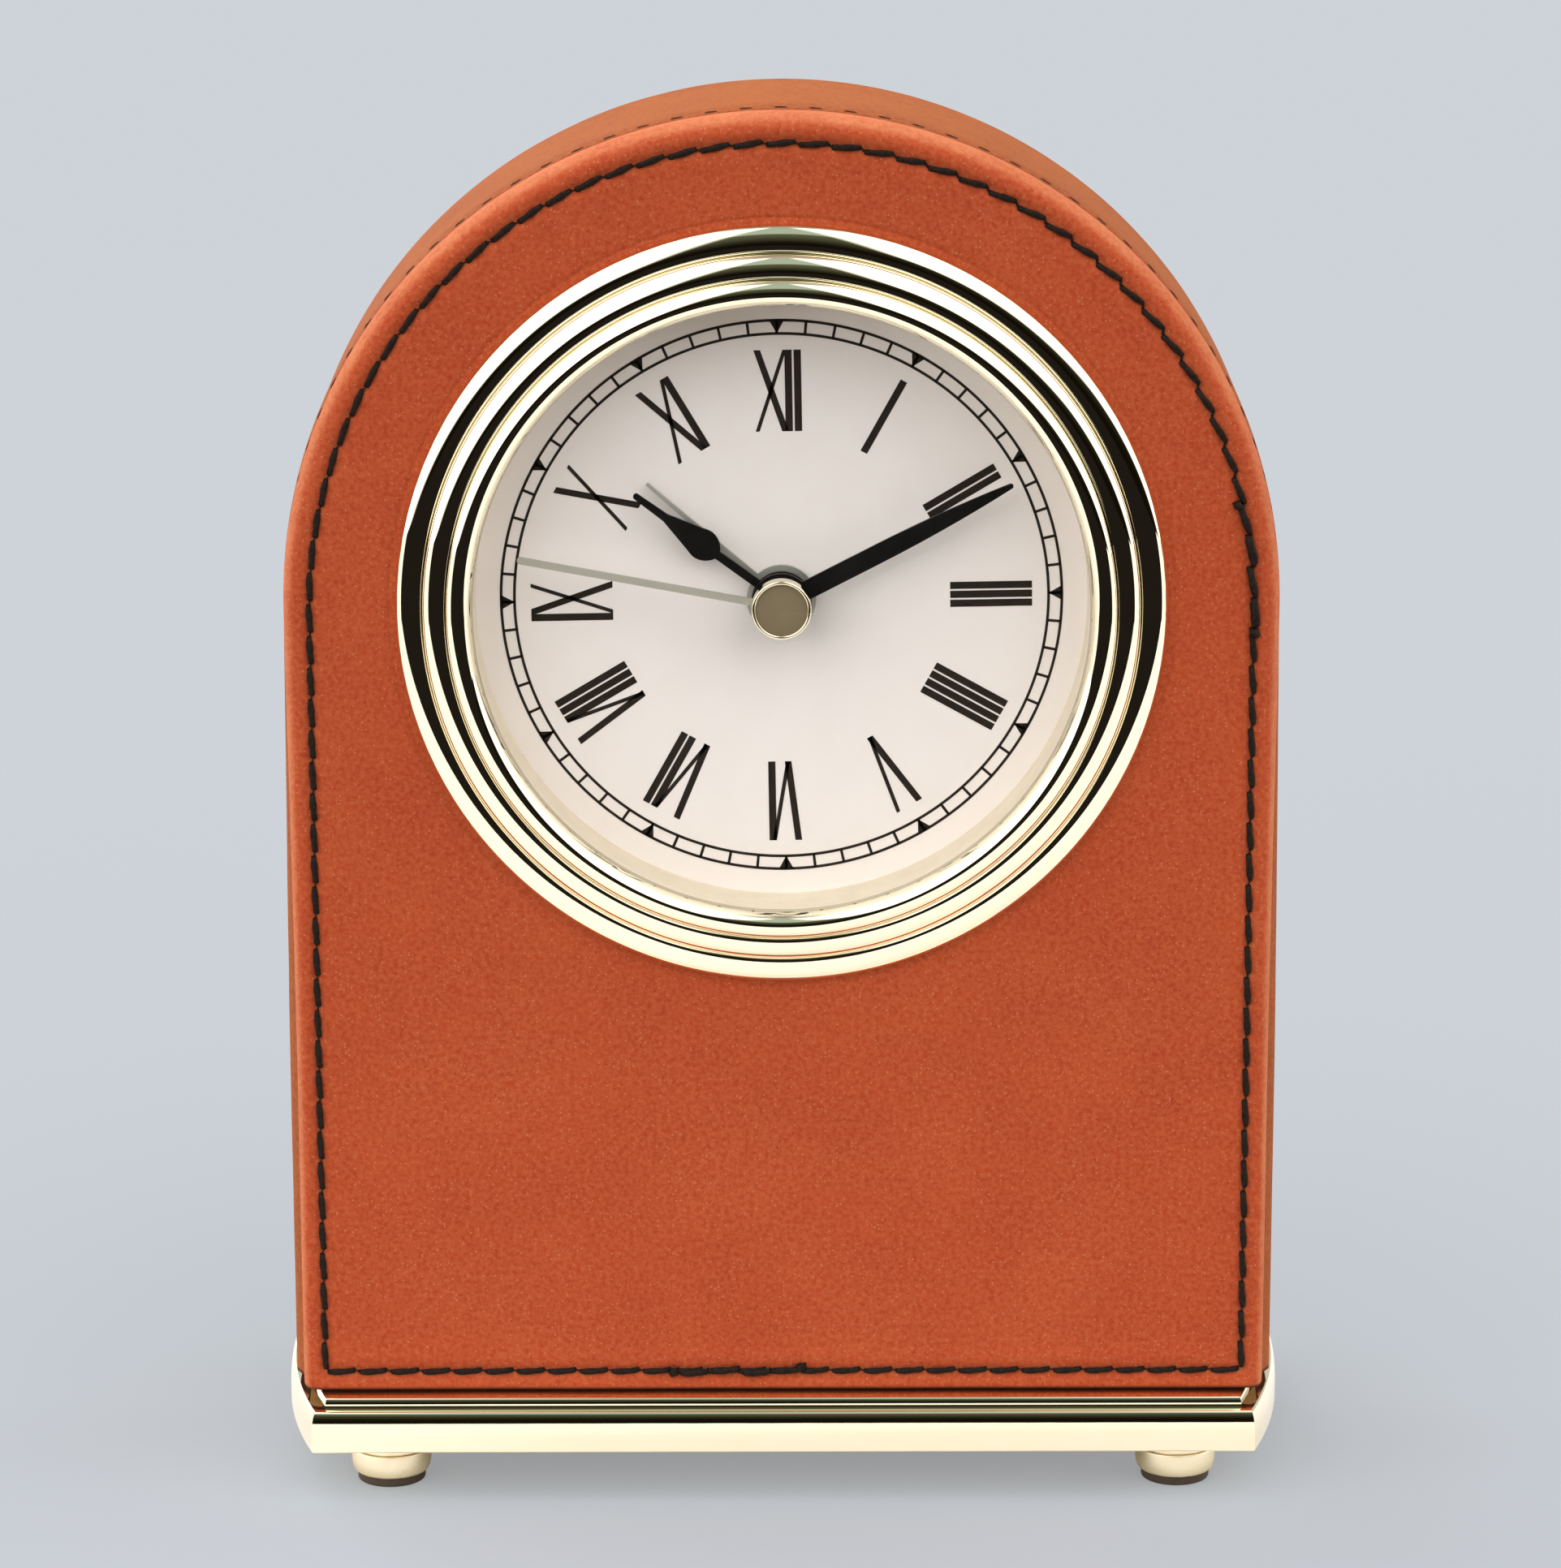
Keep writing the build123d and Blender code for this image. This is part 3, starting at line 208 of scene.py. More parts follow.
class Effect(Enum):
    """Surface effects that several finishes share, each one a node group."""

    MOTTLE = "surface_mottle"
    SPECKS = "surface_specks"
    GRAIN = "surface_grain"
    BRUSH = "surface_brush"
    DUST = "surface_dust"
    WEB = "surface_web"

    def tree(self) -> bpy.types.NodeTree:
        """Node group of this effect, made at first use."""
        found = bpy.data.node_groups.get(self.value)
        return found or self._make()

    def _make(self) -> bpy.types.NodeTree:
        """Make the node group.

        Returns:
            The new group, with the inputs Scale and Amount and the output Share.
        """
        tree = bpy.data.node_groups.new(self.value, "ShaderNodeTree")
        for name, start in (("Scale", 200.0), ("Amount", 0.5)):
            socket = tree.interface.new_socket(name, in_out="INPUT", socket_type="NodeSocketFloat")
            socket.default_value = start
        tree.interface.new_socket("Share", in_out="OUTPUT", socket_type="NodeSocketFloat")
        shader = Shader(tree)
        entry = shader.add("NodeGroupInput")
        recipe = {
            Effect.MOTTLE: self._mottle,
            Effect.SPECKS: self._specks,
            Effect.GRAIN: self._grain,
            Effect.BRUSH: self._brush,
            Effect.DUST: self._dust,
            Effect.WEB: self._web,
        }[self]
        share = recipe(shader, entry.outputs["Scale"], entry.outputs["Amount"])
        shader.add("NodeGroupOutput", {"Share": share})
        return tree

    @staticmethod
    def _mottle(shader: Shader, scale: Socket, amount: Socket) -> Socket:
        """Cloudy patches of two sizes, amount is their contrast.

        Args:
            shader: Node tree of the group.
            scale: Cells per metre.
            amount: Strength of the effect.

        Returns:
            The share from 0 to 1.
        """
        coarse = shader.noise(scale, 4.0)
        fine = shader.noise(shader.math("MULTIPLY", scale, 4.3), 3.0)
        both = shader.math("ADD", shader.math("MULTIPLY", coarse, 0.6), shader.math("MULTIPLY", fine, 0.4))
        centred = shader.math("SUBTRACT", both, 0.5)
        spread_out = shader.math("MULTIPLY", centred, shader.math("MULTIPLY", amount, 6.0))
        return shader.add("ShaderNodeClamp", {0: shader.math("ADD", spread_out, 0.5)}).outputs[0]

    @staticmethod
    def _specks(shader: Shader, scale: Socket, amount: Socket) -> Socket:
        """Small separate dots, amount is the share of cells that hold one.

        Args:
            shader: Node tree of the group.
            scale: Cells per metre.
            amount: Strength of the effect.

        Returns:
            The share from 0 to 1.
        """
        cells = shader.add("ShaderNodeTexVoronoi", {"Vector": shader.place(), "Scale": scale})
        dot = shader.remap(cells.outputs["Distance"], 0.12, 0.34, 1.0, 0.0)
        pick = shader.add("ShaderNodeSeparateColor", {0: cells.outputs["Color"]}).outputs[0]
        return shader.math("MULTIPLY", dot, shader.math("LESS_THAN", pick, amount))

    @staticmethod
    def _grain(shader: Shader, scale: Socket, amount: Socket) -> Socket:
        """Fine pebbled height, amount mixes noise into the pebbles.

        Args:
            shader: Node tree of the group.
            scale: Cells per metre.
            amount: Strength of the effect.

        Returns:
            The share from 0 to 1.
        """
        cells = shader.add("ShaderNodeTexVoronoi", {"Vector": shader.place(), "Scale": scale})
        fuzz = shader.noise(shader.math("MULTIPLY", scale, 2.0), 4.0)
        return shader.add("ShaderNodeMix", {0: amount, 2: cells.outputs["Distance"], 3: fuzz}).outputs[0]

    @staticmethod
    def _brush(shader: Shader, scale: Socket, amount: Socket) -> Socket:
        """Fine lines along X, amount is their contrast.

        Args:
            shader: Node tree of the group.
            scale: Cells per metre.
            amount: Strength of the effect.

        Returns:
            The share from 0 to 1.
        """
        lines = shader.noise(scale, 5.0, shader.place((0.03, 1.0, 1.0)))
        spread_out = shader.math("MULTIPLY", shader.math("SUBTRACT", lines, 0.5), amount)
        return shader.math("ADD", spread_out, 0.5)

    @staticmethod
    def _dust(shader: Shader, scale: Socket, amount: Socket) -> Socket:
        """Dust on faces that look up, amount is the most of it.

        Args:
            shader: Node tree of the group.
            scale: Cells per metre.
            amount: Strength of the effect.

        Returns:
            The share from 0 to 1.
        """
        normal = shader.add("ShaderNodeNewGeometry").outputs["Normal"]
        rise = shader.add("ShaderNodeSeparateXYZ", {0: normal}).outputs["Z"]
        patches = shader.remap(shader.noise(scale, 5.0), 0.35, 0.75)
        lying = shader.math("MULTIPLY", shader.remap(rise, 0.3, 0.95), patches)
        return shader.math("MULTIPLY", lying, amount)

    @staticmethod
    def _web(shader: Shader, scale: Socket, amount: Socket) -> Socket:
        """Fine creases between cells that come and go in patches, amount is the most of them.

        Args:
            shader: Node tree of the group.
            scale: Cells per metre.
            amount: Strength of the effect.

        Returns:
            The share from 0 to 1.
        """
        place = shader.place()
        finer = shader.math("MULTIPLY", scale, 1.7)
        shift = shader.add("ShaderNodeTexNoise", {"Vector": place, "Scale": finer}).outputs["Color"]
        bent = shader.add("ShaderNodeVectorMath", {0: shift, "Scale": 0.0009}, operation="SCALE")
        moved = shader.add("ShaderNodeVectorMath", {0: place, 1: bent.outputs["Vector"]}, operation="ADD")
        cells = shader.add("ShaderNodeTexVoronoi", {"Vector": moved.outputs["Vector"], "Scale": scale},
                           feature="DISTANCE_TO_EDGE")
        line = shader.remap(cells.outputs["Distance"], 0.0, 0.14, 1.0, 0.0)
        patches = shader.remap(shader.noise(shader.math("MULTIPLY", scale, 0.07), 3.0), 0.42, 0.66)
        return shader.math("MULTIPLY", shader.math("MULTIPLY", line, patches), amount)


@dataclass(frozen=True)
class Finish:
    """A finish that makes its material at first use."""

    name: str

    @cache
    def material(self) -> bpy.types.Material:
        """Material of this finish.

        Returns:
            The material, shared by every piece with this finish.
        """
        material = bpy.data.materials.new(self.name)
        material.use_nodes = True
        material.node_tree.nodes.clear()
        shader = Shader(material.node_tree)
        shader.add("ShaderNodeOutputMaterial", {"Surface": self.surface(shader)})
        return material

    def surface(self, shader: Shader) -> Socket:
        """Surface shader of the finish."""
        raise NotImplementedError


@dataclass(frozen=True)
class Nubuck(Finish):
    """Brushed leather with a short nap, with a painted highlight that makes it paler where it folds over an
    edge.
    """

    colour: Colour
    shade: Colour
    nap: Colour
    fold: Colour
    fold_start: float
    fold_end: float
    low_edge_shade: Colour
    low_edge_shade_start: float
    low_edge_shade_end: float

    def surface(self, shader: Shader) -> Socket:
        """Mottled nap with pale specks, a painted highlight on the fold by its depth behind the face and
        painted shade along the lower edge.

        Args:
            shader: Node tree of the material.

        Returns:
            The shader socket.
        """
        patches = shader.effect(Effect.MOTTLE, scale=120.0, amount=0.4)
        ground = shader.mix(patches, self.shade, self.colour)
        nap = shader.effect(Effect.MOTTLE, scale=1900.0, amount=0.8)
        napped = shader.mix(shader.math("MULTIPLY", nap, 0.44), ground, self.nap)
        web = shader.effect(Effect.WEB, scale=780.0, amount=0.2)
        webbed = shader.mix(web, napped, self.nap)
        place = shader.add("ShaderNodeSeparateXYZ", {0: shader.place()})
        # Painted highlight over the fold, by its depth behind the face.
        folded = shader.remap(place.outputs["Y"], self.fold_start * MM, self.fold_end * MM)
        uneven = shader.remap(nap, 0.0, 1.0, 0.7, 1.0)
        # The patches break up the painted highlight on the fold.
        worn = shader.math("MULTIPLY", shader.remap(patches, 0.0, 1.0, 0.45, 0.8), uneven)
        highlighted = shader.mix(shader.math("MULTIPLY", folded, worn), webbed, self.fold)
        specks = shader.effect(Effect.SPECKS, scale=2400.0, amount=0.26)
        specked = shader.mix(shader.math("MULTIPLY", specks, 0.6), highlighted, self.fold)
        # Painted shade: darker towards the leather's lower edge, where it meets the base.
        above = shader.remap(place.outputs["Z"], self.low_edge_shade_start * MM, self.low_edge_shade_end * MM)
        colour = shader.mix(above, self.low_edge_shade, specked)
        grain = shader.effect(Effect.GRAIN, scale=2300.0, amount=0.7)
        height = shader.math("SUBTRACT", grain, shader.math("MULTIPLY", web, 1.4))
        inputs = {
            "Base Color": colour,
            "Roughness": 0.88,
            "Specular IOR Level": 0.25,
            "Sheen Weight": 0.22,
            "Sheen Roughness": 0.4,
            "Sheen Tint": self.nap,
            "Normal": shader.bump(height, 0.5, 0.0001),
        }
        return shader.add("ShaderNodeBsdfPrincipled", inputs).outputs[0]


@dataclass(frozen=True)
class Twine(Finish):
    """Twisted dark thread with a waxy glint."""

    colour: Colour
    glint: Colour

    def surface(self, shader: Shader) -> Socket:
        """Fine fibres over a dark ground.

        Args:
            shader: Node tree of the material.

        Returns:
            The shader socket.
        """
        fibres = shader.effect(Effect.MOTTLE, scale=2600.0, amount=0.9)
        colour = shader.mix(shader.math("MULTIPLY", fibres, 0.6), self.colour, self.glint)
        height = shader.effect(Effect.GRAIN, scale=5200.0, amount=0.4)
        inputs = {
            "Base Color": colour,
            "Roughness": 0.6,
            "Specular IOR Level": 0.12,
            "Normal": shader.bump(height, 0.6, 0.00006),
        }
        return shader.add("ShaderNodeBsdfPrincipled", inputs).outputs[0]


@dataclass(frozen=True)
class Metal(Finish):
    """Metal with handling marks, from mirror bright to satin."""

    colour: Colour
    tarnish: Colour
    polish: float
    haze: float
    lines: float

    def surface(self, shader: Shader) -> Socket:
        """Bright ground with faint clouds and fine lines.

        Args:
            shader: Node tree of the material.

        Returns:
            The shader socket.
        """
        clouds = shader.effect(Effect.MOTTLE, scale=160.0, amount=0.7)
        tint = shader.mix(shader.math("MULTIPLY", clouds, 0.18), self.colour, self.tarnish)
        lines = shader.effect(Effect.BRUSH, scale=5200.0, amount=1.0)
        hazy = shader.math("ADD", self.polish, shader.math("MULTIPLY", clouds, self.haze))
        inputs = {
            "Base Color": tint,
            "Metallic": 1.0,
            "Roughness": hazy,
            "Normal": shader.bump(lines, self.lines, 0.00002),
        }
        return shader.add("ShaderNodeBsdfPrincipled", inputs).outputs[0]


@dataclass(frozen=True)
class Moulded(Finish):
    """Plastic, rubber, card or paint with a fine moulded texture."""

    colour: Colour
    worn: Colour
    polish: float
    texture: float
    grain: float = 3000.0
    gloss: float = 0.5

    def surface(self, shader: Shader) -> Socket:
        """Ground with faint clouds, worn specks and a little dust on top.

        Args:
            shader: Node tree of the material.

        Returns:
            The shader socket.
        """
        clouds = shader.effect(Effect.MOTTLE, scale=240.0, amount=0.6)
        ground = shader.mix(shader.math("MULTIPLY", clouds, 0.35), self.colour, self.worn)
        specks = shader.effect(Effect.SPECKS, scale=1500.0, amount=0.1)
        specked = shader.mix(shader.math("MULTIPLY", specks, 0.25), ground, self.worn)
        dust = shader.effect(Effect.DUST, scale=420.0, amount=0.12)
        colour = shader.mix(dust, specked, srgb(190, 180, 165))
        height = shader.effect(Effect.GRAIN, scale=self.grain, amount=0.5)
        rough = shader.math("ADD", self.polish, shader.math("MULTIPLY", clouds, 0.12))
        inputs = {
            "Base Color": colour,
            "Roughness": rough,
            "Specular IOR Level": self.gloss,
            "Normal": shader.bump(height, self.texture, 0.00006),
        }
        return shader.add("ShaderNodeBsdfPrincipled", inputs).outputs[0]


@dataclass(frozen=True)
class ClearGlass(Finish):
    """Clear crystal that lets the light through to the dial."""

    tint: Colour

    def surface(self, shader: Shader) -> Socket:
        """Glass for the eye, and plain see-through for shadows and bounced light.

        Args:
            shader: Node tree of the material.

        Returns:
            The shader socket.
        """
        haze = shader.effect(Effect.MOTTLE, scale=60.0, amount=0.6)
        inputs = {
            "Base Color": self.tint,
            "Roughness": shader.math("MULTIPLY", haze, 0.02),
            "Transmission Weight": 1.0,
            "IOR": 1.47,
        }
        glass = shader.add("ShaderNodeBsdfPrincipled", inputs).outputs[0]
        clear = shader.add("ShaderNodeBsdfTransparent", {"Color": self.tint}).outputs[0]
        path = shader.add("ShaderNodeLightPath")
        hidden = shader.math("MAXIMUM", path.outputs["Is Shadow Ray"], path.outputs["Is Diffuse Ray"])
        return shader.add("ShaderNodeMixShader", {0: hidden, 1: glass, 2: clear}).outputs[0]


LEATHER_FACE = node_box("front_leather")[0].y
LEATHER_FOOT = node_box("front_leather")[0].z
# The fourth colour is the painted highlight on the fold, also used for the pale specks; the last one is
# painted shade along the lower edge.
FRONT_NUBUCK = Nubuck(
    "front_nubuck", srgb(177, 67, 30), srgb(164, 56, 24), srgb(204, 108, 64), srgb(204, 128, 86),
    LEATHER_FACE + 0.05, LEATHER_FACE + 0.8, srgb(60, 20, 10), LEATHER_FOOT + 0.15, LEATHER_FOOT + 0.7,
)
# On the band the fourth colour is the painted highlight, paler from 9 mm behind the face; the last one is
# painted shade at its lower ends.
BAND_NUBUCK = Nubuck(
    "band_nubuck", srgb(147, 64, 25), srgb(122, 47, 16), srgb(175, 108, 57), srgb(161, 87, 38),
    LEATHER_FACE + 4.0, LEATHER_FACE + 9.0, srgb(60, 24, 10), LEATHER_FOOT + 0.1, LEATHER_FOOT + 0.6,
)
THREAD = Twine("dark_thread", srgb(18, 12, 8), srgb(46, 33, 23))
SEAM_THREAD = Twine("seam_thread", srgb(52, 27, 15), srgb(84, 48, 28))
POLISHED_GOLD = Metal("mirror_gold", (0.95, 0.86, 0.64, 1.0), (0.90, 0.78, 0.54, 1.0), 0.018, 0.02, 0.02)
SATIN_GOLD = Metal("brushed_gold", (0.93, 0.82, 0.60, 1.0), (0.80, 0.66, 0.42, 1.0), 0.26, 0.12, 0.25)
SILVER = Metal("silver_metal", (0.60, 0.58, 0.52, 1.0), (0.50, 0.47, 0.41, 1.0), 0.46, 0.1, 0.3)
PALE_METAL = Metal("pale_hand_metal", (0.60, 0.57, 0.48, 1.0), (0.48, 0.45, 0.37, 1.0), 0.5, 0.1, 0.3)
CAP_FACE = Moulded("cap_face_paint", srgb(120, 104, 76), srgb(140, 124, 96), 0.5, 0.3, 2400.0)
STEEL = Metal("screw_steel", (0.62, 0.61, 0.58, 1.0), (0.42, 0.40, 0.37, 1.0), 0.25, 0.15, 0.3)
COPPER = Metal("coil_copper", (0.83, 0.42, 0.25, 1.0), (0.60, 0.27, 0.14, 1.0), 0.28, 0.1, 0.4)
BRASS = Metal("sounder_brass", (0.88, 0.70, 0.34, 1.0), (0.66, 0.48, 0.20, 1.0), 0.25, 0.15, 0.3)
CRYSTAL = ClearGlass("domed_crystal", (1.0, 1.0, 0.995, 1.0))
DIAL_PAINT = Moulded("dial_paint", srgb(254, 246, 242), srgb(247, 237, 231), 0.42, 0.06)
INK = Moulded("dial_ink", srgb(34, 25, 18), srgb(52, 42, 33), 0.5, 0.1, 3000.0, 0.2)
BLACK_PAINT = Moulded("black_hand_paint", srgb(12, 10, 8), srgb(24, 20, 17), 0.36, 0.08, 3000.0, 0.15)
CREAM_WALL = Moulded("cream_paint", srgb(232, 219, 196), srgb(214, 198, 170), 0.5, 0.12)
BLACK_PLASTIC = Moulded("moulded_black", srgb(26, 25, 24), srgb(52, 50, 47), 0.42, 0.3, 2200.0)
WHEEL_PLASTIC = Moulded("moulded_cream", srgb(226, 222, 208), srgb(204, 198, 180), 0.35, 0.1)
RUBBER = Moulded("foot_rubber", srgb(62, 49, 37), srgb(96, 80, 62), 0.7, 0.4, 2600.0)
GRIP_RUBBER = Moulded("seat_rubber", srgb(34, 32, 30), srgb(60, 56, 52), 0.75, 0.4, 2600.0)
BOARD = Moulded("pressed_board", srgb(164, 128, 88), srgb(138, 102, 66), 0.8, 0.5, 1400.0)
FELT = Moulded("brown_felt", srgb(64, 40, 28), srgb(104, 72, 52), 0.95, 0.9, 4200.0)
MAGNET = Moulded("magnet_black", srgb(48, 46, 45), srgb(80, 77, 74), 0.4, 0.3)
CIRCUIT = Moulded("circuit_green", srgb(28, 88, 52), srgb(56, 116, 74), 0.3, 0.15)
CHIP = Moulded("chip_resin", srgb(22, 22, 23), srgb(46, 46, 47), 0.45, 0.4)
JACKET = Moulded("cell_jacket", srgb(58, 60, 64), srgb(120, 118, 112), 0.25, 0.08)


@dataclass(frozen=True)
class Piece:
    """One mesh of the visual model, with its body, finish and record slot."""

    name: str
    body: str
    finish: Finish
    slot: str
    crease_degrees: float = 40.0
    stands_for: tuple[str, ...] = ()

    def make(self, points: Sequence[Vector], faces: Sequence[Sequence[int]]) -> bpy.types.Object:
        """Make the mesh object and fix it to its body.

        Args:
            points: Corners in millimetres, in the frame.
            faces: Corner numbers of each face.

        Returns:
            The new object.
        """
        mesh = bpy.data.meshes.new(self.name)
        mesh.from_pydata([tuple(point * MM) for point in points], [], faces)
        work = bmesh.new()
        work.from_mesh(mesh)
        bmesh.ops.remove_doubles(work, verts=work.verts, dist=0.000002)
        bmesh.ops.recalc_face_normals(work, faces=work.faces)
        work.to_mesh(mesh)
        work.free()
        mesh.shade_smooth()
        mesh.set_sharp_from_angle(angle=math.radians(self.crease_degrees))
        made = bpy.data.objects.new(self.name, mesh)
        bpy.context.scene.collection.objects.link(made)
        made.data.materials.append(self.finish.material())
        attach(made, self.body)
        if self.stands_for:
            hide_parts(*self.stands_for)
        log.info("%s: %d faces", self.name, len(mesh.polygons))
        return made


def join_rows(rows: int, columns: int, loop_rows: bool, loop_columns: bool) -> list[tuple[int, ...]]:
    """Faces between the points of a grid.

    Args:
        rows: Number of rows.
        columns: Points in each row.
        loop_rows: True when the last row meets the first.
        loop_columns: True when the last column meets the first.

    Returns:
        Four corner numbers for each face.
    """
    faces = []
    for row in range(rows if loop_rows else rows - 1):
        upper = (row + 1) % rows
        for column in range(columns if loop_columns else columns - 1):
            beside = (column + 1) % columns
            faces.append((row * columns + column, row * columns + beside,
                          upper * columns + beside, upper * columns + column))
    return faces


def flatten(grid: Grid) -> list[Vector]:
    """Points of a grid, row by row."""
    return [point for row in grid for point in row]


class Edge(Enum):
    """Stretches of the case's outline, clockwise from the lower left corner."""

    LEFT = "left"
    ARCH = "arch"
    RIGHT = "right"
    BOTTOM = "bottom"


Column = tuple[Edge, float]


@dataclass(frozen=True)
class CaseForm:
    """Arch of the case, read from the frame."""

    half_width: float
    bottom: float
    centre: float
    face: float
    seam: float
    band_front: float
    back: float
    axis: float
    bezel_radius: float
    bore: float
    arch_pull: float = 0.25
    side_pull: float = 0.75
    pull_reach: float = 2.6
    side_bulge: float = 0.55
    bulge_rise: Flat = (0.4, 3.4)
    bulge_hold: float = 6.0
    bulge_end: float = 2.0
    low_sides: Flat = (-20.0, 55.0)

    @classmethod
    def read(cls) -> "CaseForm":
        """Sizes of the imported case.

        Returns:
            The form.
        """
        low, high = node_box("front_leather")
        band_low, band_high = node_box("side_leather")
        ring_low, ring_high = node_box("bezel")
        grip_low, grip_high = node_box("grip_ring")
        half_width = (high.x - low.x) / 2
        return cls(
            half_width=half_width,
            bottom=low.z,
            centre=high.z - half_width,
            face=low.y,
            seam=high.y - low.y,
            band_front=band_low.y - low.y,
            back=band_high.y - low.y,
            axis=(ring_low.z + ring_high.z) / 2,
            bezel_radius=(ring_high.z - ring_low.z) / 2,
            bore=(grip_high.z - grip_low.z) / 2,
        )

    def at(self, x: float, depth: float, z: float) -> Vector:
        """Point in the frame from a depth behind the leather's face."""
        return Vector((x, self.face + depth, z))

    def outline(self, column: Column, inset: float, lift: float) -> Flat:
        """Point on the outline moved inwards.

        Args:
            column: Stretch of the outline and the share of it that is passed.
            inset: Distance in from the sides and the arch.
            lift: Distance up from the bottom edge.

        Returns:
            The point's x and z.
        """
        edge, share = column
        half = self.half_width - inset
        low = self.bottom + lift
        if edge is Edge.LEFT:
            return (-half, low + (self.centre - low) * share)
        if edge is Edge.ARCH:
            angle = math.pi * (1 - share)
            return (half * math.cos(angle), self.centre + half * math.sin(angle))
        if edge is Edge.RIGHT:
            return (half, self.centre + (low - self.centre) * share)
        return (half - 2 * half * share, low)

    def lowness(self, z: float) -> float:
        """0 on the arch and 1 on the lower sides."""
        return smooth(self.centre - z, *self.low_sides)

    def pull(self, z: float) -> float:
        """Distance that the side seam is drawn in at a height."""
        return self.arch_pull + (self.side_pull - self.arch_pull) * self.lowness(z)

    def swell(self, depth: float, z: float) -> float:
        """Distance that the band lies inside the outline: drawn in at the seam, swollen behind it.

        Args:
            depth: Depth behind the face.
            z: Height.

        Returns:
            The distance, below 0 where the band stands out.
        """
        front = self.band_front
        drawn = self.pull(z) * (1 - smooth(depth, front, front + self.pull_reach))
        start, full = self.bulge_rise
        hump = smooth(depth, front + start, front + full)
        hump *= 1 - smooth(depth, front + self.bulge_hold, self.back - self.bulge_end)
        return drawn - self.side_bulge * self.lowness(z) * hump

    def inset_of(self, x: float, z: float) -> float:
        """Distance in from the sides and the arch.

        Args:
            x: Place across.
            z: Height.

        Returns:
            The distance.
        """
        if z < self.centre:
            return self.half_width - abs(x)
        return self.half_width - math.hypot(x, z - self.centre)

    def from_axis(self, x: float, z: float) -> float:
        """Distance from the hand axis."""
        return math.hypot(x, z - self.axis)

    def columns(self, side: int, arch: int, bottom: int) -> list[Column]:
        """Columns round the outline, with two at each lower corner.

        Args:
            side: Steps up each side.
            arch: Steps over the arch.
            bottom: Steps along the bottom, none when it stays open.

        Returns:
            The columns, clockwise from the lower left corner.
        """
        made = [(Edge.LEFT, step / side) for step in range(side)]
        made += [(Edge.ARCH, step / arch) for step in range(arch)]
        made += [(Edge.RIGHT, step / side) for step in range(side + 1)]
        if bottom:
            made += [(Edge.BOTTOM, step / bottom) for step in range(bottom + 1)]
        return made


@dataclass(frozen=True)
class Seam:
    """Row of stitches round the front, a run over the arch and a run along the bottom."""

    form: CaseForm
    inset: float = 3.25
    lift: float = 2.4
    pitch: float = 3.45

    def runs(self) -> tuple[float, float]:
        """Lengths of the run over the arch and the run along the bottom.

        Returns:
            The two lengths.
        """
        side = self.form.centre - self.form.bottom - self.lift
        half = self.form.half_width - self.inset
        return (2 * side + math.pi * half, 2 * half)

    def counts(self) -> tuple[int, int]:
        """Number of stitches in each run."""
        over, under = self.runs()
        return (round(over / self.pitch), round(under / self.pitch))

    def spot(self, run: int, along: float) -> tuple[Flat, Flat]:
        """Place on the row.

        Args:
            run: 0 for the run over the arch, 1 for the run along the bottom.
            along: Distance along the run, clockwise.

        Returns:
            The place and the direction out of the case there, both as x and z.
        """
        form = self.form
        side = form.centre - form.bottom - self.lift
        half = form.half_width - self.inset
        if run == 1:
            return (half - along, form.bottom + self.lift), (0.0, -1.0)
        if along < side:
            return (-half, form.bottom + self.lift + along), (-1.0, 0.0)
        turn = (along - side) / half
        if turn > math.pi:
            return (half, form.centre - (turn - math.pi) * half), (1.0, 0.0)
        out = (-math.cos(turn), math.sin(turn))
        return (half * out[0], form.centre + half * out[1]), out

    def holes(self) -> list[Flat]:
        """Places where the thread goes through the leather.

        Returns:
            The places as x and z.
        """
        found = []
        for run, (length, count) in enumerate(zip(self.runs(), self.counts())):
            found += [self.spot(run, length * step / count)[0] for step in range(count + 1)]
        return found


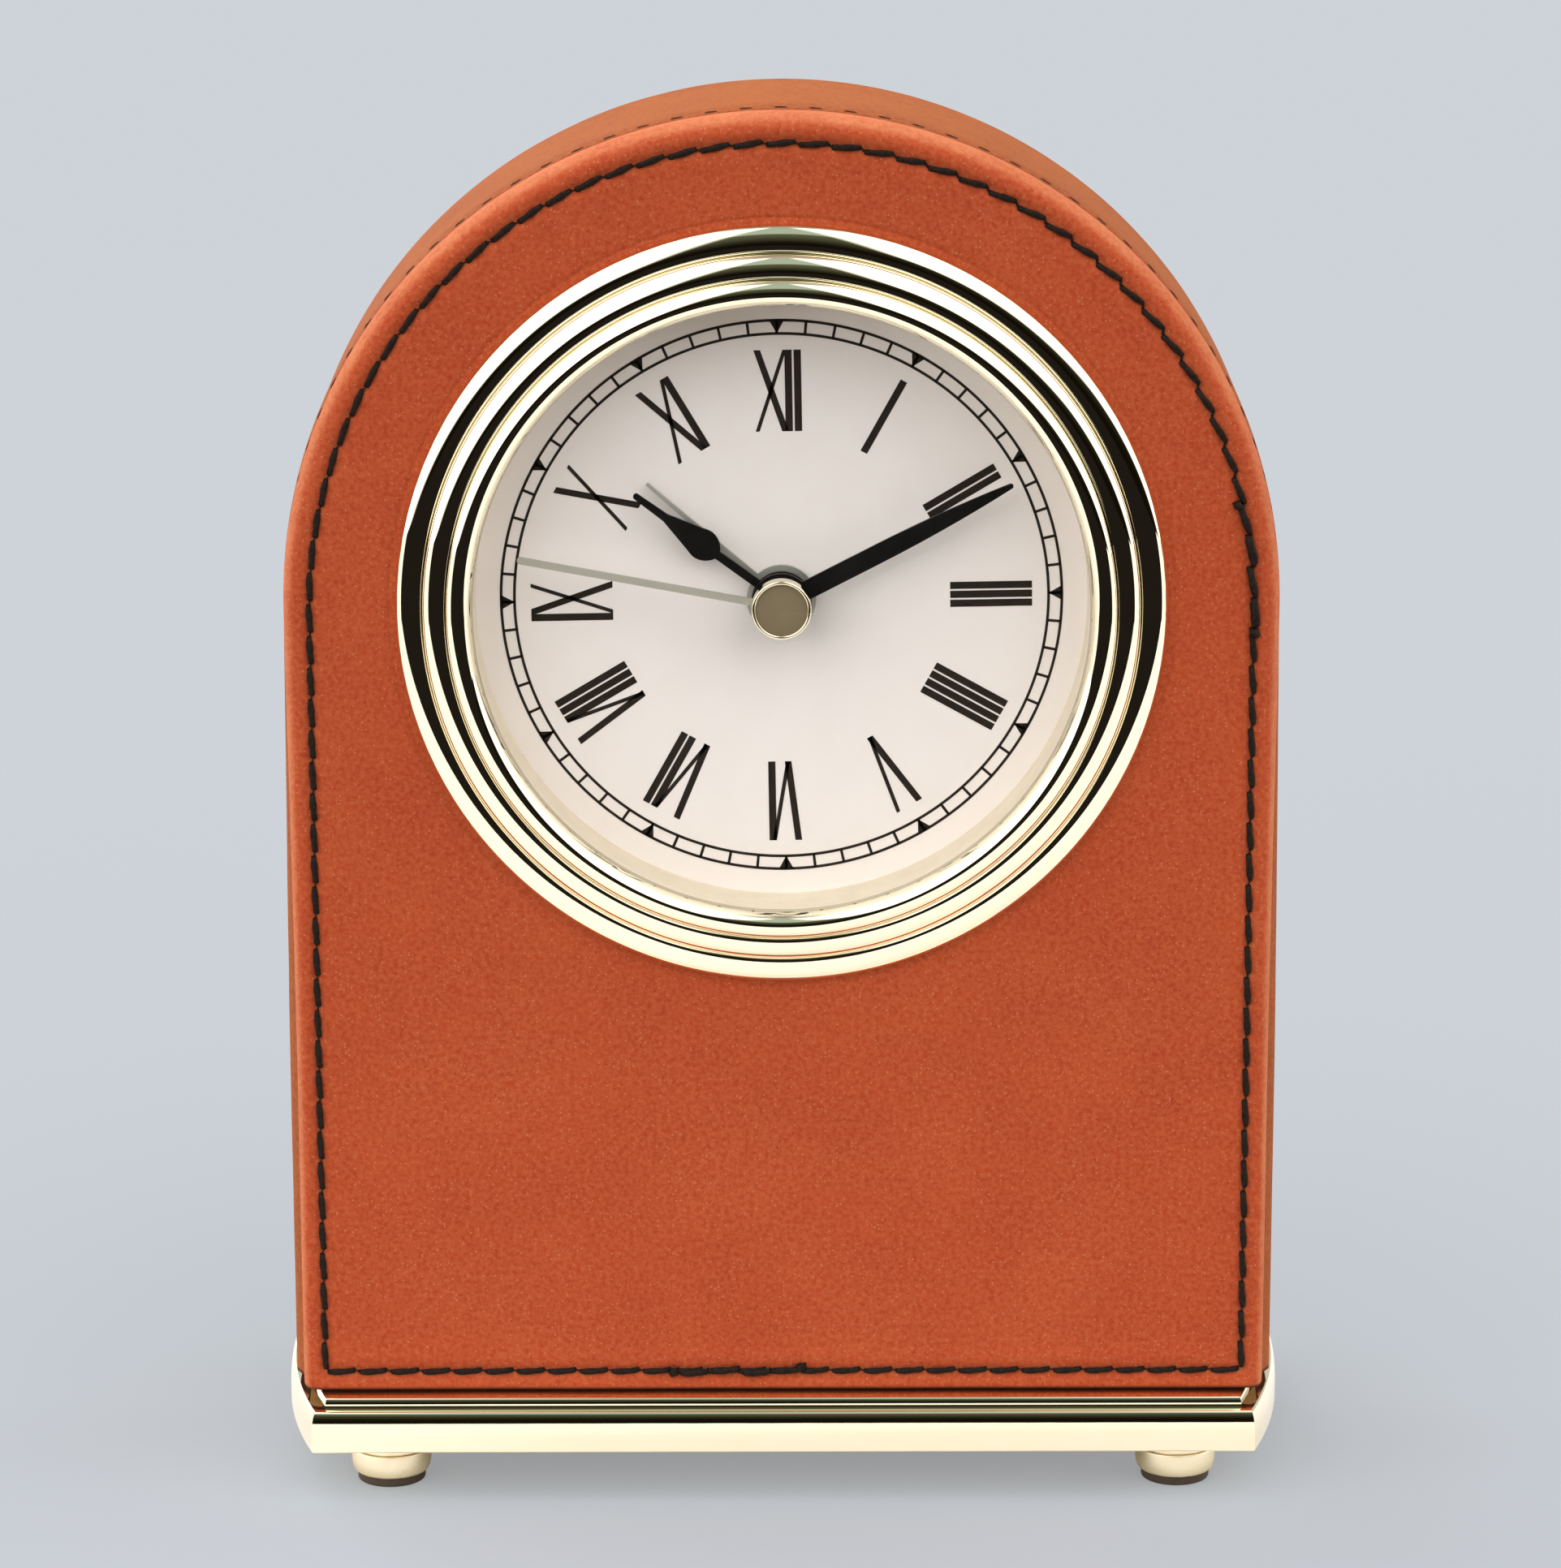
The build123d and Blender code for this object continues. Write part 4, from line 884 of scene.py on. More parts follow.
@dataclass
class FrontLeather:
    """Front leather, folded over the case's front edge and sewn round its border."""

    form: CaseForm
    seam: Seam
    thickness: float = 0.98
    fold_round: float = 2.2
    bottom_round: float = 0.95
    border: float = 7.4
    side_steps: int = 215
    arch_steps: int = 400
    bottom_steps: int = 250
    groove_depth: float = 0.16
    groove_width: float = 0.6
    ridge_share: float = 0.35
    ridge_offset: float = 1.5
    ridge_width: float = 0.8
    pucker_depth: float = 0.26
    pucker_width: float = 0.62
    imprint_offset: float = 0.67
    imprint_depth: float = 0.12
    imprint_width: float = 0.16
    wave_height: float = 0.07
    wave_length: float = 11.0
    wave_start: Flat = (0.4, 3.0)
    wave_seeds: Flat = (7.3, 2.1)
    fine_share: float = 0.35
    fold_rows: tuple[Flat, ...] = ((0.42, 1.0), (0.15, 0.96), (0.04, 0.87), (0.0, 0.72), (0.0, 0.4))
    round_rows: int = 12
    edge_rows: int = 7
    border_rows: int = 21
    field_rows: int = 18
    ring_rows: int = 17
    ring_zone: float = 2.4
    under_bezel: float = 1.0
    holes: KDTree = field(init=False)

    def __post_init__(self) -> None:
        """Store the stitch holes so that the nearest one is quick to find."""
        places = self.seam.holes()
        self.holes = KDTree(len(places))
        for number, (x, z) in enumerate(places):
            self.holes.insert((x, z, 0.0), number)
        self.holes.balance()

    def relief(self, x: float, z: float) -> float:
        """Depth of the leather's face at a place, from sewing, the bezel and its own waves.

        Args:
            x: Place across.
            z: Height.

        Returns:
            The depth, below 0 where the leather stands up.
        """
        inset = self.form.inset_of(x, z)
        lift = z - self.form.bottom
        from_row = min(
            math.hypot(inset - self.seam.inset, min(lift - self.seam.lift, 0.0)),
            math.hypot(lift - self.seam.lift, min(inset - self.seam.inset, 0.0)),
        )
        depth = self.groove_depth * bell(from_row, self.groove_width)
        depth -= self.ridge_share * self.groove_depth * bell(from_row - self.ridge_offset, self.ridge_width)
        from_hole = self.holes.find((x, z, 0.0))[2]
        depth += self.pucker_depth * bell(from_hole, self.pucker_width)
        radius = self.form.from_axis(x, z)
        ring = radius - self.form.bezel_radius
        depth += self.imprint_depth * bell(ring - self.imprint_offset, self.imprint_width)
        wave = noise.noise(Vector((x, z, self.wave_seeds[0])) / self.wave_length)
        fine = noise.noise(Vector((x, z, self.wave_seeds[1])) / (self.wave_length / 4))
        free = smooth(ring, *self.wave_start)
        return depth + free * self.wave_height * (wave + self.fine_share * fine)

    def roll(self, distance: float, radius: float, start: float = 0.0) -> float:
        """Depth of a rounded edge.

        Args:
            distance: Distance in from the outline.
            radius: Distance and depth that the rounding takes.
            start: Distance at which the rounding starts.

        Returns:
            The depth behind the face.
        """
        share = min(max((distance - start) / (radius - start), 0.0), 1.0)
        return radius * (1 - math.sqrt(1 - (1 - share) ** 2))

    def face_point(self, place: Flat) -> Vector:
        """Point of the face over a place.

        Args:
            place: Place as x and z.

        Returns:
            The point.
        """
        x, z = place
        depth = self.roll(self.form.inset_of(x, z), self.fold_round, self.form.pull(z))
        depth += self.roll(z - self.form.bottom, self.bottom_round)
        return self.form.at(x, depth + self.relief(x, z), z)

    def drawn_in(self, column: Column, inset: float, lift: float, reach: float) -> Flat:
        """Place on the outline, drawn in towards the seam.

        Args:
            column: Column of the outline.
            inset: Distance in from the sides and the arch.
            lift: Distance up from the bottom edge.
            reach: Inset from which nothing is drawn in.

        Returns:
            The place's x and z.
        """
        height = self.form.outline(column, inset, lift)[1]
        share = max(1 - inset / reach, 0.0)
        return self.form.outline(column, inset + self.form.pull(height) * share, lift)

    def fold_point(self, column: Column, inset: float, share: float) -> Vector:
        """Point of the fold behind the rounded edge.

        Args:
            column: Column of the outline.
            inset: Distance in from the sides and the arch.
            share: 0 where the rounding ends, 1 at the rear edge.

        Returns:
            The point.
        """
        if column[0] is Edge.BOTTOM:
            x, z = self.drawn_in(column, 0.0, 0.0, self.thickness)
            near = self.roll(self.form.inset_of(x, z), self.fold_round, self.form.pull(z))
            under = self.bottom_round + share * (self.thickness - self.bottom_round)
            return self.form.at(x, near + under, z)
        x, z = self.drawn_in(column, inset, 0.0, self.thickness)
        start = self.fold_round + self.roll(z - self.form.bottom, self.bottom_round)
        return self.form.at(x, start + share * (self.form.seam - start), z)

    def grid(self, columns: list[Column]) -> Grid:
        """Rows from the hidden inner edge, over the fold and the face, and back behind the face.

        Args:
            columns: Columns round the outline.

        Returns:
            The points, one list for each row.
        """
        form = self.form
        folds = ((self.thickness, 1.0), *self.fold_rows)
        rows = [[self.fold_point(column, inset, share) for column in columns] for inset, share in folds]
        steps = [(self.fold_round * (1 - math.cos(turn)), self.bottom_round * (1 - math.cos(turn)))
                 for turn in spread(0.0, math.pi / 2, self.round_rows)]
        steps += [(self.fold_round + (self.seam.inset - self.fold_round) * share,
                   self.bottom_round + (self.seam.lift - self.bottom_round) * share)
                  for share in spread(0.0, 1.0, self.edge_rows)[1:]]
        steps += [(inset, self.seam.lift + inset - self.seam.inset)
                  for inset in spread(self.seam.inset, self.border, self.border_rows)[1:]]
        rows += [[self.face_point(self.drawn_in(column, *step, self.fold_round)) for column in columns]
                 for step in steps]
        rim = [form.outline(column, *steps[-1]) for column in columns]
        near = form.bezel_radius + self.ring_zone
        for share in spread(0.0, 1.0, self.field_rows)[1:]:
            rows.append([self.face_point(self.towards(place, near, share)) for place in rim])
        radii = spread(near, form.bezel_radius, self.ring_rows)[1:]
        for radius in radii + [form.bezel_radius - self.under_bezel, form.bore]:
            rows.append([self.face_point(self.towards(place, radius, 1.0)) for place in rim])
        hole = [self.towards(place, form.bore, 1.0) for place in rim]
        rows.append([form.at(x, self.thickness, z) for x, z in hole])
        inner = [form.outline(column, self.thickness, self.thickness) for column in columns]
        rows.append([form.at(x, self.thickness, z) for x, z in inner])
        return rows

    def towards(self, place: Flat, radius: float, share: float) -> Flat:
        """Place on the way from a point to a circle round the hand axis.

        Args:
            place: Place to start from.
            radius: Radius of the circle.
            share: Share of the way.

        Returns:
            The place as x and z.
        """
        x, z = place
        reach = self.form.from_axis(x, z)
        scale = (reach + (radius - reach) * share) / reach
        return (x * scale, self.form.axis + (z - self.form.axis) * scale)

    def build(self) -> bpy.types.Object:
        """Make the leather in place of its CAD node.

        Returns:
            The new object.
        """
        columns = self.form.columns(self.side_steps, self.arch_steps, self.bottom_steps)
        grid = self.grid(columns)
        faces = join_rows(len(grid), len(columns), True, True)
        piece = Piece("front_leather_sewn", "case", FRONT_NUBUCK, "front_leather", 60.0, ("front_leather",))
        return piece.make(flatten(grid), faces)


@dataclass
class SideLeather:
    """Band of leather over the arch, turned in at the seam and at the back."""

    form: CaseForm
    thickness: float = 0.98
    side_steps: int = 120
    arch_steps: int = 260
    turned: tuple[Flat, ...] = ((0.42, 0.0), (0.15, 0.06), (0.04, 0.22))
    rear: tuple[Flat, ...] = ((0.05, 0.5), (0.18, 0.2), (0.45, 0.03))
    middle: Flat = (0.6, 1.0)
    middle_rows: int = 24
    wave_height: float = 0.05
    wave_length: float = 9.0
    wave_start: Flat = (5.0, 8.0)

    def section(self) -> list[Flat]:
        """Inset and depth of the band's section, from its hidden front edge over the outside.

        Returns:
            The inset and the depth of each row.
        """
        front = self.form.band_front
        back = self.form.back
        start, end = self.middle
        turned = [(self.thickness, front)] + [(inset, front + depth) for inset, depth in self.turned]
        middle = [(0.0, depth) for depth in spread(front + start, back - end, self.middle_rows)]
        rear = [(inset, back - depth) for inset, depth in self.rear] + [(self.thickness, back)]
        return turned + middle + rear

    def build(self) -> bpy.types.Object:
        """Make the band in place of its CAD node.

        Returns:
            The new object.
        """
        columns = self.form.columns(self.side_steps, self.arch_steps, 0)
        grid = []
        for inset, depth in self.section():
            row = []
            for column in columns:
                x, z = self.form.outline(column, inset, 0.0)
                wave = noise.noise(Vector((x, depth, z)) / self.wave_length)
                moved = self.wave_height * max(wave, 0.0) * smooth(depth, *self.wave_start)
                moved += self.form.swell(depth, z)
                x, z = self.form.outline(column, inset + moved * (1 - inset / self.thickness), 0.0)
                row.append(self.form.at(x, depth, z))
            grid.append(row)
        faces = join_rows(len(grid), len(columns), True, False)
        count = len(columns)
        for end in (0, count - 1):
            faces.append(tuple(row * count + end for row in range(len(grid))))
        piece = Piece("side_leather_band", "case", BAND_NUBUCK, "side_leather", 60.0, ("side_leather",))
        return piece.make(flatten(grid), faces)


@dataclass(frozen=True)
class Spool:
    """Thread that stitches are cut from."""

    width: float
    thickness: float
    stations: int = 15
    corners: int = 10
    strand: float = 0.10
    twist_turns: float = 1.6
    end: float = 0.6
    bluntness: float = 0.3
    tip: float = 0.02

    def stitch(
        self, centres: Sequence[Vector], across: Sequence[Vector], up: Sequence[Vector]
    ) -> tuple[Grid, list]:
        """One stitch along a row of centres, tapered at both ends.

        Args:
            centres: Points along the stitch.
            across: Direction across the stitch at each point.
            up: Direction out of the leather at each point.

        Returns:
            The rings of points and the faces between them.
        """
        rings = []
        last = len(centres) - 1
        for number, centre in enumerate(centres):
            share = number / last
            along = min(max(share, self.tip), 1 - self.tip)
            taper = self.end + (1 - self.end) * math.sin(math.pi * along) ** self.bluntness
            ring = []
            for corner in range(self.corners):
                angle = 2 * math.pi * corner / self.corners
                bulge = 1 + self.strand * math.cos(2 * angle - 2 * math.pi * self.twist_turns * share)
                wide = across[number] * (math.cos(angle) * self.width / 2)
                high = up[number] * (math.sin(angle) * self.thickness / 2)
                ring.append(centre + (wide + high) * (taper * bulge))
            rings.append(ring)
        faces = join_rows(len(rings), self.corners, False, True)
        faces.append(tuple(range(self.corners)))
        faces.append(tuple(range(last * self.corners, (last + 1) * self.corners)))
        return rings, faces


@dataclass(frozen=True)
class Tack:
    """Stitches sewn a second time to lock the thread, with a knot at each end."""

    run: int
    start: float
    stitches: int


@dataclass
class Sewing:
    """All the thread that shows: the row on the front and the dashes in the side seam."""

    form: CaseForm
    seam: Seam
    spool: Spool = Spool(0.68, 0.5)
    link_spool: Spool = Spool(0.34, 0.26, 7)
    tack_spool: Spool = Spool(0.78, 0.6)
    knot_spool: Spool = Spool(1.0, 0.8, 9)
    gap: float = 0.4
    slant: float = 0.1
    arch_slant: float = 0.17
    arch_middle: float = 205.0
    arch_reach: float = 42.0
    sunk: float = 0.34
    crown: float = 0.1
    rise_power: float = 0.42
    link_rise: float = 0.1
    tacks: tuple[Tack, ...] = (Tack(1, 48.2, 4), Tack(0, 231.4, 4))
    tack_lift: float = 0.24
    tack_shifts: Flat = (-0.12, 0.16)
    tack_share: float = 0.94
    knot_length: float = 1.1
    knot_lift: float = 0.16
    first_knot: Flat = (-0.4, -0.45)
    last_knot: Flat = (-0.2, 0.1)
    dash_pitch: float = 3.7
    dash_length: float = 1.95
    dash_spool: Spool = Spool(0.44, 0.34)
    dash_sink: float = 0.05
    dash_setback: float = 0.75
    dash_end: float = 0.3

    def slant_at(self, run: int, along: float) -> float:
        """Half of a stitch's slant, which grows over the right of the arch.

        Args:
            run: Run of the row.
            along: Distance along the run.

        Returns:
            The distance out of the line at the end of a stitch.
        """
        more = 0.0 if run else self.arch_slant * bell(along - self.arch_middle, self.arch_reach)
        return self.slant + more

    def front_stitch(
        self, run: int, start: float, end: float, shift: float, spool: Spool, lift: float
    ) -> tuple[Grid, list]:
        """One stitch of the front row.

        Args:
            run: Run of the row that the stitch is on.
            start: Distance along the run where it comes up.
            end: Distance along the run where it goes down.
            shift: Distance out of the row's line.
            spool: Thread to use.
            lift: Extra height over the leather.

        Returns:
            The rings of points and the faces between them.
        """
        centres, across, up = [], [], []
        for share in spread(0.0, 1.0, spool.stations):
            (x, z), out = self.seam.spot(run, start + (end - start) * share)
            side = shift + self.slant_at(run, start) * (2 * share - 1)
            rise = math.sin(math.pi * share) ** self.rise_power
            depth = self.sunk - (self.sunk + self.crown + lift) * rise
            centres.append(self.form.at(x + out[0] * side, depth, z + out[1] * side))
            across.append(Vector((out[0], 0.0, out[1])))
            up.append(Vector((0.0, -1.0, 0.0)))
        return spool.stitch(centres, across, up)

    def link(self, run: int, along: float) -> tuple[Grid, list]:
        """Thread in the slit between two stitches, from the end of one to the start of the next.

        Args:
            run: Run of the row.
            along: Distance along the run to the slit.

        Returns:
            The rings of points and the faces between them.
        """
        centres, across, up = [], [], []
        for share in spread(-0.5, 0.5, self.link_spool.stations):
            (x, z), out = self.seam.spot(run, along + share * self.gap)
            side = -2 * self.slant_at(run, along) * share
            centres.append(self.form.at(x + out[0] * side, self.sunk - self.link_rise, z + out[1] * side))
            across.append(Vector((out[1], 0.0, -out[0])))
            up.append(Vector((0.0, -1.0, 0.0)))
        return self.link_spool.stitch(centres, across, up)

    def row(self) -> list[tuple[Grid, list]]:
        """Every stitch of the front row, with the links and the tacks.

        Returns:
            The rings and the faces of each stitch.
        """
        made = []
        for run, (length, count) in enumerate(zip(self.seam.runs(), self.seam.counts())):
            pitch = length / count
            for number in range(count):
                start = number * pitch + self.gap / 2
                made.append(self.front_stitch(run, start, start + pitch - self.gap, 0.0, self.spool, 0.0))
                if number:
                    made.append(self.link(run, number * pitch))
        for tack in self.tacks:
            made += self.tacked(tack)
        return made

    def tacked(self, tack: Tack) -> list[tuple[Grid, list]]:
        """Second layer of stitches over the row, and a knot at each end of it.

        Args:
            tack: Tack to sew.

        Returns:
            The rings and the faces of each stitch.
        """
        made = []
        pitch = self.seam.pitch
        for number in range(tack.stitches):
            start = tack.start + number * pitch
            end = start + pitch * self.tack_share
            shift = self.tack_shifts[number % 2]
            made.append(self.front_stitch(tack.run, start, end, shift, self.tack_spool, self.tack_lift))
        last = tack.start + tack.stitches * pitch
        for place, (move, shift) in ((tack.start, self.first_knot), (last, self.last_knot)):
            start = place + move
            end = start + self.knot_length
            made.append(self.front_stitch(tack.run, start, end, shift, self.knot_spool, self.knot_lift))
        return made

    def dashes(self) -> list[tuple[Grid, list]]:
        """Short stitches that lie in the seam of the side band.

        Returns:
            The rings and the faces of each stitch.
        """
        form = self.form
        depth = form.band_front + self.dash_setback
        length = 2 * (form.centre - form.bottom) + math.pi * form.half_width
        count = round(length / self.dash_pitch)
        made = []
        for number in range(count):
            middle = (number + 0.5) * length / count
            centres, across, up = [], [], []
            for share in spread(-0.5, 0.5, self.dash_spool.stations):
                (x, z), out = self.side_spot(middle + share * self.dash_length)
                sink = self.dash_sink + form.swell(depth, z) + self.dash_end * (2 * share) ** 4
                centres.append(form.at(x - out[0] * sink, depth, z - out[1] * sink))
                across.append(Vector((0.0, 1.0, 0.0)))
                up.append(Vector((out[0], 0.0, out[1])))
            made.append(self.dash_spool.stitch(centres, across, up))
        return made

    def side_spot(self, along: float) -> tuple[Flat, Flat]:
        """Place on the case's outline and the direction out of it.

        Args:
            along: Distance along the outline from the lower left corner.

        Returns:
            The place and the direction, both as x and z.
        """
        form = self.form
        side = form.centre - form.bottom
        if along < side:
            return (-form.half_width, form.bottom + along), (-1.0, 0.0)
        turn = (along - side) / form.half_width
        if turn > math.pi:
            return (form.half_width, form.centre - (turn - math.pi) * form.half_width), (1.0, 0.0)
        out = (-math.cos(turn), math.sin(turn))
        return (form.half_width * out[0], form.centre + form.half_width * out[1]), out

    def build(self) -> None:
        """Make the stitches and the dashes as two pieces."""
        for name, finish, stitches in (
            ("front_stitches", THREAD, self.row()),
            ("seam_dashes", SEAM_THREAD, self.dashes()),
        ):
            points, faces = merge(stitches)
            Piece(name, "case", finish, "front_leather", 70.0).make(points, faces)


def merge(parts: Iterable[tuple[Grid, list]]) -> tuple[list[Vector], list[tuple[int, ...]]]:
    """Points and faces of several grids as one mesh.

    Args:
        parts: Grids with the faces of each.

    Returns:
        All the points and all the faces.
    """
    points, faces = [], []
    for grid, own_faces in parts:
        start = len(points)
        points += flatten(grid)
        faces += [tuple(start + corner for corner in face) for face in own_faces]
    return points, faces


def quarter(centre: Flat, reach: Flat, start: float, end: float, steps: int) -> list[Flat]:
    """Points on an ellipse's arc.

    Args:
        centre: Middle of the ellipse.
        reach: Its two half axes.
        start: Angle of the first point in degrees.
        end: Angle of the last point in degrees.
        steps: Number of points.

    Returns:
        The points.
    """
    turns = [math.radians(turn) for turn in spread(start, end, steps)]
    return [(centre[0] + reach[0] * math.cos(turn), centre[1] + reach[1] * math.sin(turn)) for turn in turns]


def lathe(form: CaseForm, profile: Sequence[Flat], steps: int) -> tuple[Grid, list]:
    """Closed ring round the hand axis.

    Args:
        form: Case that gives the axis.
        profile: Radius and height in front of the leather's face, round the closed section.
        steps: Columns round the axis.

    Returns:
        The rows of points and the faces.
    """
    turns = spread(0.0, 2 * math.pi, steps + 1)[:-1]
    grid = [[form.at(radius * math.sin(turn), -height, form.axis + radius * math.cos(turn)) for turn in turns]
            for radius, height in profile]
    return grid, join_rows(len(profile), steps, True, True)


@dataclass
class Bezel:
    """Polished ring of three rounded beads with a groove behind each and a rounded inner lip."""

    form: CaseForm
    edge: float = 0.3
    first_crest: Flat = (38.9, 1.6)
    first_groove: Flat = (38.3, 1.3)
    second_base: float = 1.55
    second_crest: Flat = (36.3, 3.0)
    second_groove: Flat = (35.76, 2.75)
    third_crest: float = 34.25
    lip_start: float = 34.2
    opening: float = 32.95
    crest_flat: float = 0.15
    crystal_rim: float = 1.6
    rebate_gap: float = 0.05
    bead_steps: int = 18
    groove_steps: int = 9
    lip_steps: int = 14
    columns: int = 320

    def profile(self) -> list[Flat]:
        """Closed section from the leather over the beads and back through the crystal's rebate.

        Returns:
            The radius and the height of each point.
        """
        glass_low, glass_high = node_box("crystal")
        outer = self.form.bezel_radius
        top = self.form.face - node_box("bezel")[0].y
        seat = self.form.face - glass_low.y - self.crystal_rim
        rebate = (glass_high.x - glass_low.x) / 2 + self.rebate_gap
        made = [(outer, 0.0)]
        for base, start, crest, groove in (
            (outer, self.edge, self.first_crest, self.first_groove),
            (self.first_groove[0], self.second_base, self.second_crest, self.second_groove),
        ):
            reach = (base - crest[0], crest[1] - start)
            made += quarter((crest[0], start), reach, 0.0, 90.0, self.bead_steps)
            edge = crest[0] - self.crest_flat
            reach = (edge - groove[0], crest[1] - groove[1])
            made += quarter((edge, groove[1]), reach, 90.0, 180.0, self.groove_steps)
        base, start = self.second_groove
        reach = (base - self.third_crest, top - start)
        made += quarter((self.third_crest, start), reach, 0.0, 90.0, self.bead_steps)
        reach = (self.lip_start - self.opening, top - seat)
        made += quarter((self.lip_start, seat), reach, 90.0, 180.0, self.lip_steps)
        return made + [(rebate, seat), (rebate, 0.0)]

    def build(self) -> bpy.types.Object:
        """Make the ring in place of its CAD node.

        Returns:
            The new object.
        """
        grid, faces = lathe(self.form, self.profile(), self.columns)
        piece = Piece("bezel_ring", "case", POLISHED_GOLD, "polished_gold", 40.0, ("bezel",))
        return piece.make(flatten(grid), faces)


@dataclass
class HandCap:
    """Cap on the hand axis: a polished drum with a rounded rim round a sunk matt face."""

    form: CaseForm
    rim: float = 0.46
    recess: float = 0.3
    face_crown: float = 0.05
    rim_steps: int = 15
    step: float = 0.4
    face_thickness: float = 0.2
    bore_share: float = 0.4
    core: float = 0.02
    columns: int = 96

    def build(self) -> None:
        """Make the drum in place of its CAD node, and the face in it."""
        low, high = node_box("hand_cap")
        radius = (high.x - low.x) / 2
        front = self.form.face - low.y
        back = self.form.face - high.y
        half = self.rim / 2
        inner = radius - self.rim
        floor = front - self.recess
        drum = [(radius, back), (radius, front - half)]
        drum += quarter((radius - half, front - half), (half, half), 0.0, 180.0, self.rim_steps)
        under = floor - self.face_thickness
        ledge = floor - self.step
        bore = self.bore_share * radius
        drum += [(inner, under), (inner - self.step, ledge), (bore, ledge), (bore, back)]
        grid, faces = lathe(self.form, drum, self.columns)
        piece = Piece("hand_cap_drum", "seconds", POLISHED_GOLD, "cap_metal", 40.0, ("hand_cap",))
        piece.make(flatten(grid), faces)
        disc = [(self.core, floor + self.face_crown), (0.5 * inner, floor + 0.7 * self.face_crown)]
        disc += [(inner, floor), (inner, under), (self.core, under)]
        grid, faces = lathe(self.form, disc, self.columns)
        Piece("hand_cap_face", "seconds", CAP_FACE, "cap_metal", 40.0).make(flatten(grid), faces)


@dataclass
class BasePlate:
    """Polished base in two tiers, each with a long rounding along its upper edge."""

    bow: float = 4.0
    front_half: float = 51.7
    tier: float = 4.6
    under_edge: float = 0.2
    under_lift: float = 0.02
    round_steps: int = 16
    lower_round: Flat = (0.62, 2.9)
    upper_setback: float = 1.9
    upper_round: Flat = (0.37, 1.03)
    long_steps: int = 40
    side_steps: int = 36

    def outline(self, inset: float, depth_half: float) -> list[Flat]:
        """Plan of the plate moved inwards.

        Args:
            inset: Distance in from the edge.
            depth_half: Half of the plate's depth.

        Returns:
            The points, from the left front corner along the front and round.
        """
        radius = (depth_half ** 2 + self.bow ** 2) / (2 * self.bow)
        middle = self.front_half + self.bow - radius
        reach = depth_half - inset
        corner = middle + math.sqrt((radius - inset) ** 2 - reach ** 2)
        turn = math.asin(reach / (radius - inset))
        side = [(middle + (radius - inset) * math.cos(angle), (radius - inset) * math.sin(angle))
                for angle in spread(-turn, turn, self.side_steps)]
        front = [(x, -reach) for x in spread(-corner, corner, self.long_steps)]
        half = front[:-1] + side[:-1]
        return half + [(-x, -y) for x, y in half]

    def section(self, low: float, high: float) -> list[Flat]:
        """Inset and height from the under edge to the top of the upper tier.

        Args:
            low: Height of the underside.
            high: Height of the top.

        Returns:
            The inset and the height of each row.
        """
        step = low + self.tier
        made = [(self.under_edge, low + self.under_lift), (0.0, low + self.under_edge)]
        tiers = ((0.0, step, self.lower_round), (self.upper_setback, high, self.upper_round))
        for base, top, (depth, rise) in tiers:
            arc = quarter((0.0, top - rise), (depth, rise), 0.0, 90.0, self.round_steps)
            made += [(base + depth - x, z) for x, z in arc]
        made.insert(-self.round_steps, (self.upper_setback, step))
        return made

    def build(self) -> bpy.types.Object:
        """Make the plate in place of its CAD node.

        Returns:
            The new object.
        """
        low, high = node_box("base_plate")
        grid = [[Vector((x, y, z)) for x, y in self.outline(inset, high.y)]
                for inset, z in self.section(low.z, high.z)]
        count = len(grid[0])
        faces = join_rows(len(grid), count, False, True)
        faces += [tuple(range(count)), tuple((len(grid) - 1) * count + corner for corner in range(count))]
        piece = Piece("base_plate_polished", "case", POLISHED_GOLD, "polished_gold", 30.0, ("base_plate",))
        return piece.make(flatten(grid), faces)


@dataclass(frozen=True)
class Foot:
    """Turned foot: a neck under the base, a groove and a body rounded towards the pad."""

    place: str
    radius: float = 4.42
    neck_radius: float = 4.3
    neck: float = 1.6
    groove: Flat = (0.4, 0.16)
    low_round: Flat = (0.67, 1.5)
    top_round: float = 0.22
    stud_radius: float = 1.5
    core: float = 0.02
    columns: int = 72

    def profile(self, low: float, base: float, top: float) -> list[Flat]:
        """Section of the foot from the pad to the stud.

        Args:
            low: Height of the pad's upper face.
            base: Height of the base plate's underside.
            top: Height of the stud's end.

        Returns:
            Radius and height of the section's points.
        """
        depth, height = self.groove
        shoulder = base - self.neck - height
        body = self.radius - self.low_round[0]
        made = [(self.core, low)]
        made += quarter((body, low + self.low_round[1]), self.low_round, -90.0, 0.0, 14)
        made += quarter((self.radius - self.top_round, shoulder - self.top_round),
                        (self.top_round, self.top_round), 0.0, 90.0, 7)
        made += [(self.radius - depth, shoulder), (self.radius - depth, shoulder + height),
                 (self.neck_radius, shoulder + height), (self.neck_radius, base)]
        return made + [(self.stud_radius, base), (self.stud_radius, top), (self.core, top)]

    def build(self) -> bpy.types.Object:
        """Make the foot in place of its CAD node.

        Returns:
            The new object.
        """
        node = f"foot_{self.place}"
        low, high = node_box(node)
        middle = (low + high) / 2
        turns = spread(0.0, 2 * math.pi, self.columns + 1)[:-1]
        grid = [[Vector((middle.x + radius * math.cos(turn), middle.y + radius * math.sin(turn), height))
                 for turn in turns]
                for radius, height in self.profile(low.z, node_box("base_plate")[0].z, high.z)]
        faces = join_rows(len(grid), self.columns, True, True)
        piece = Piece(f"{node}_turned", "case", SATIN_GOLD, "satin_gold", 40.0, (node,))
        return piece.make(flatten(grid), faces)


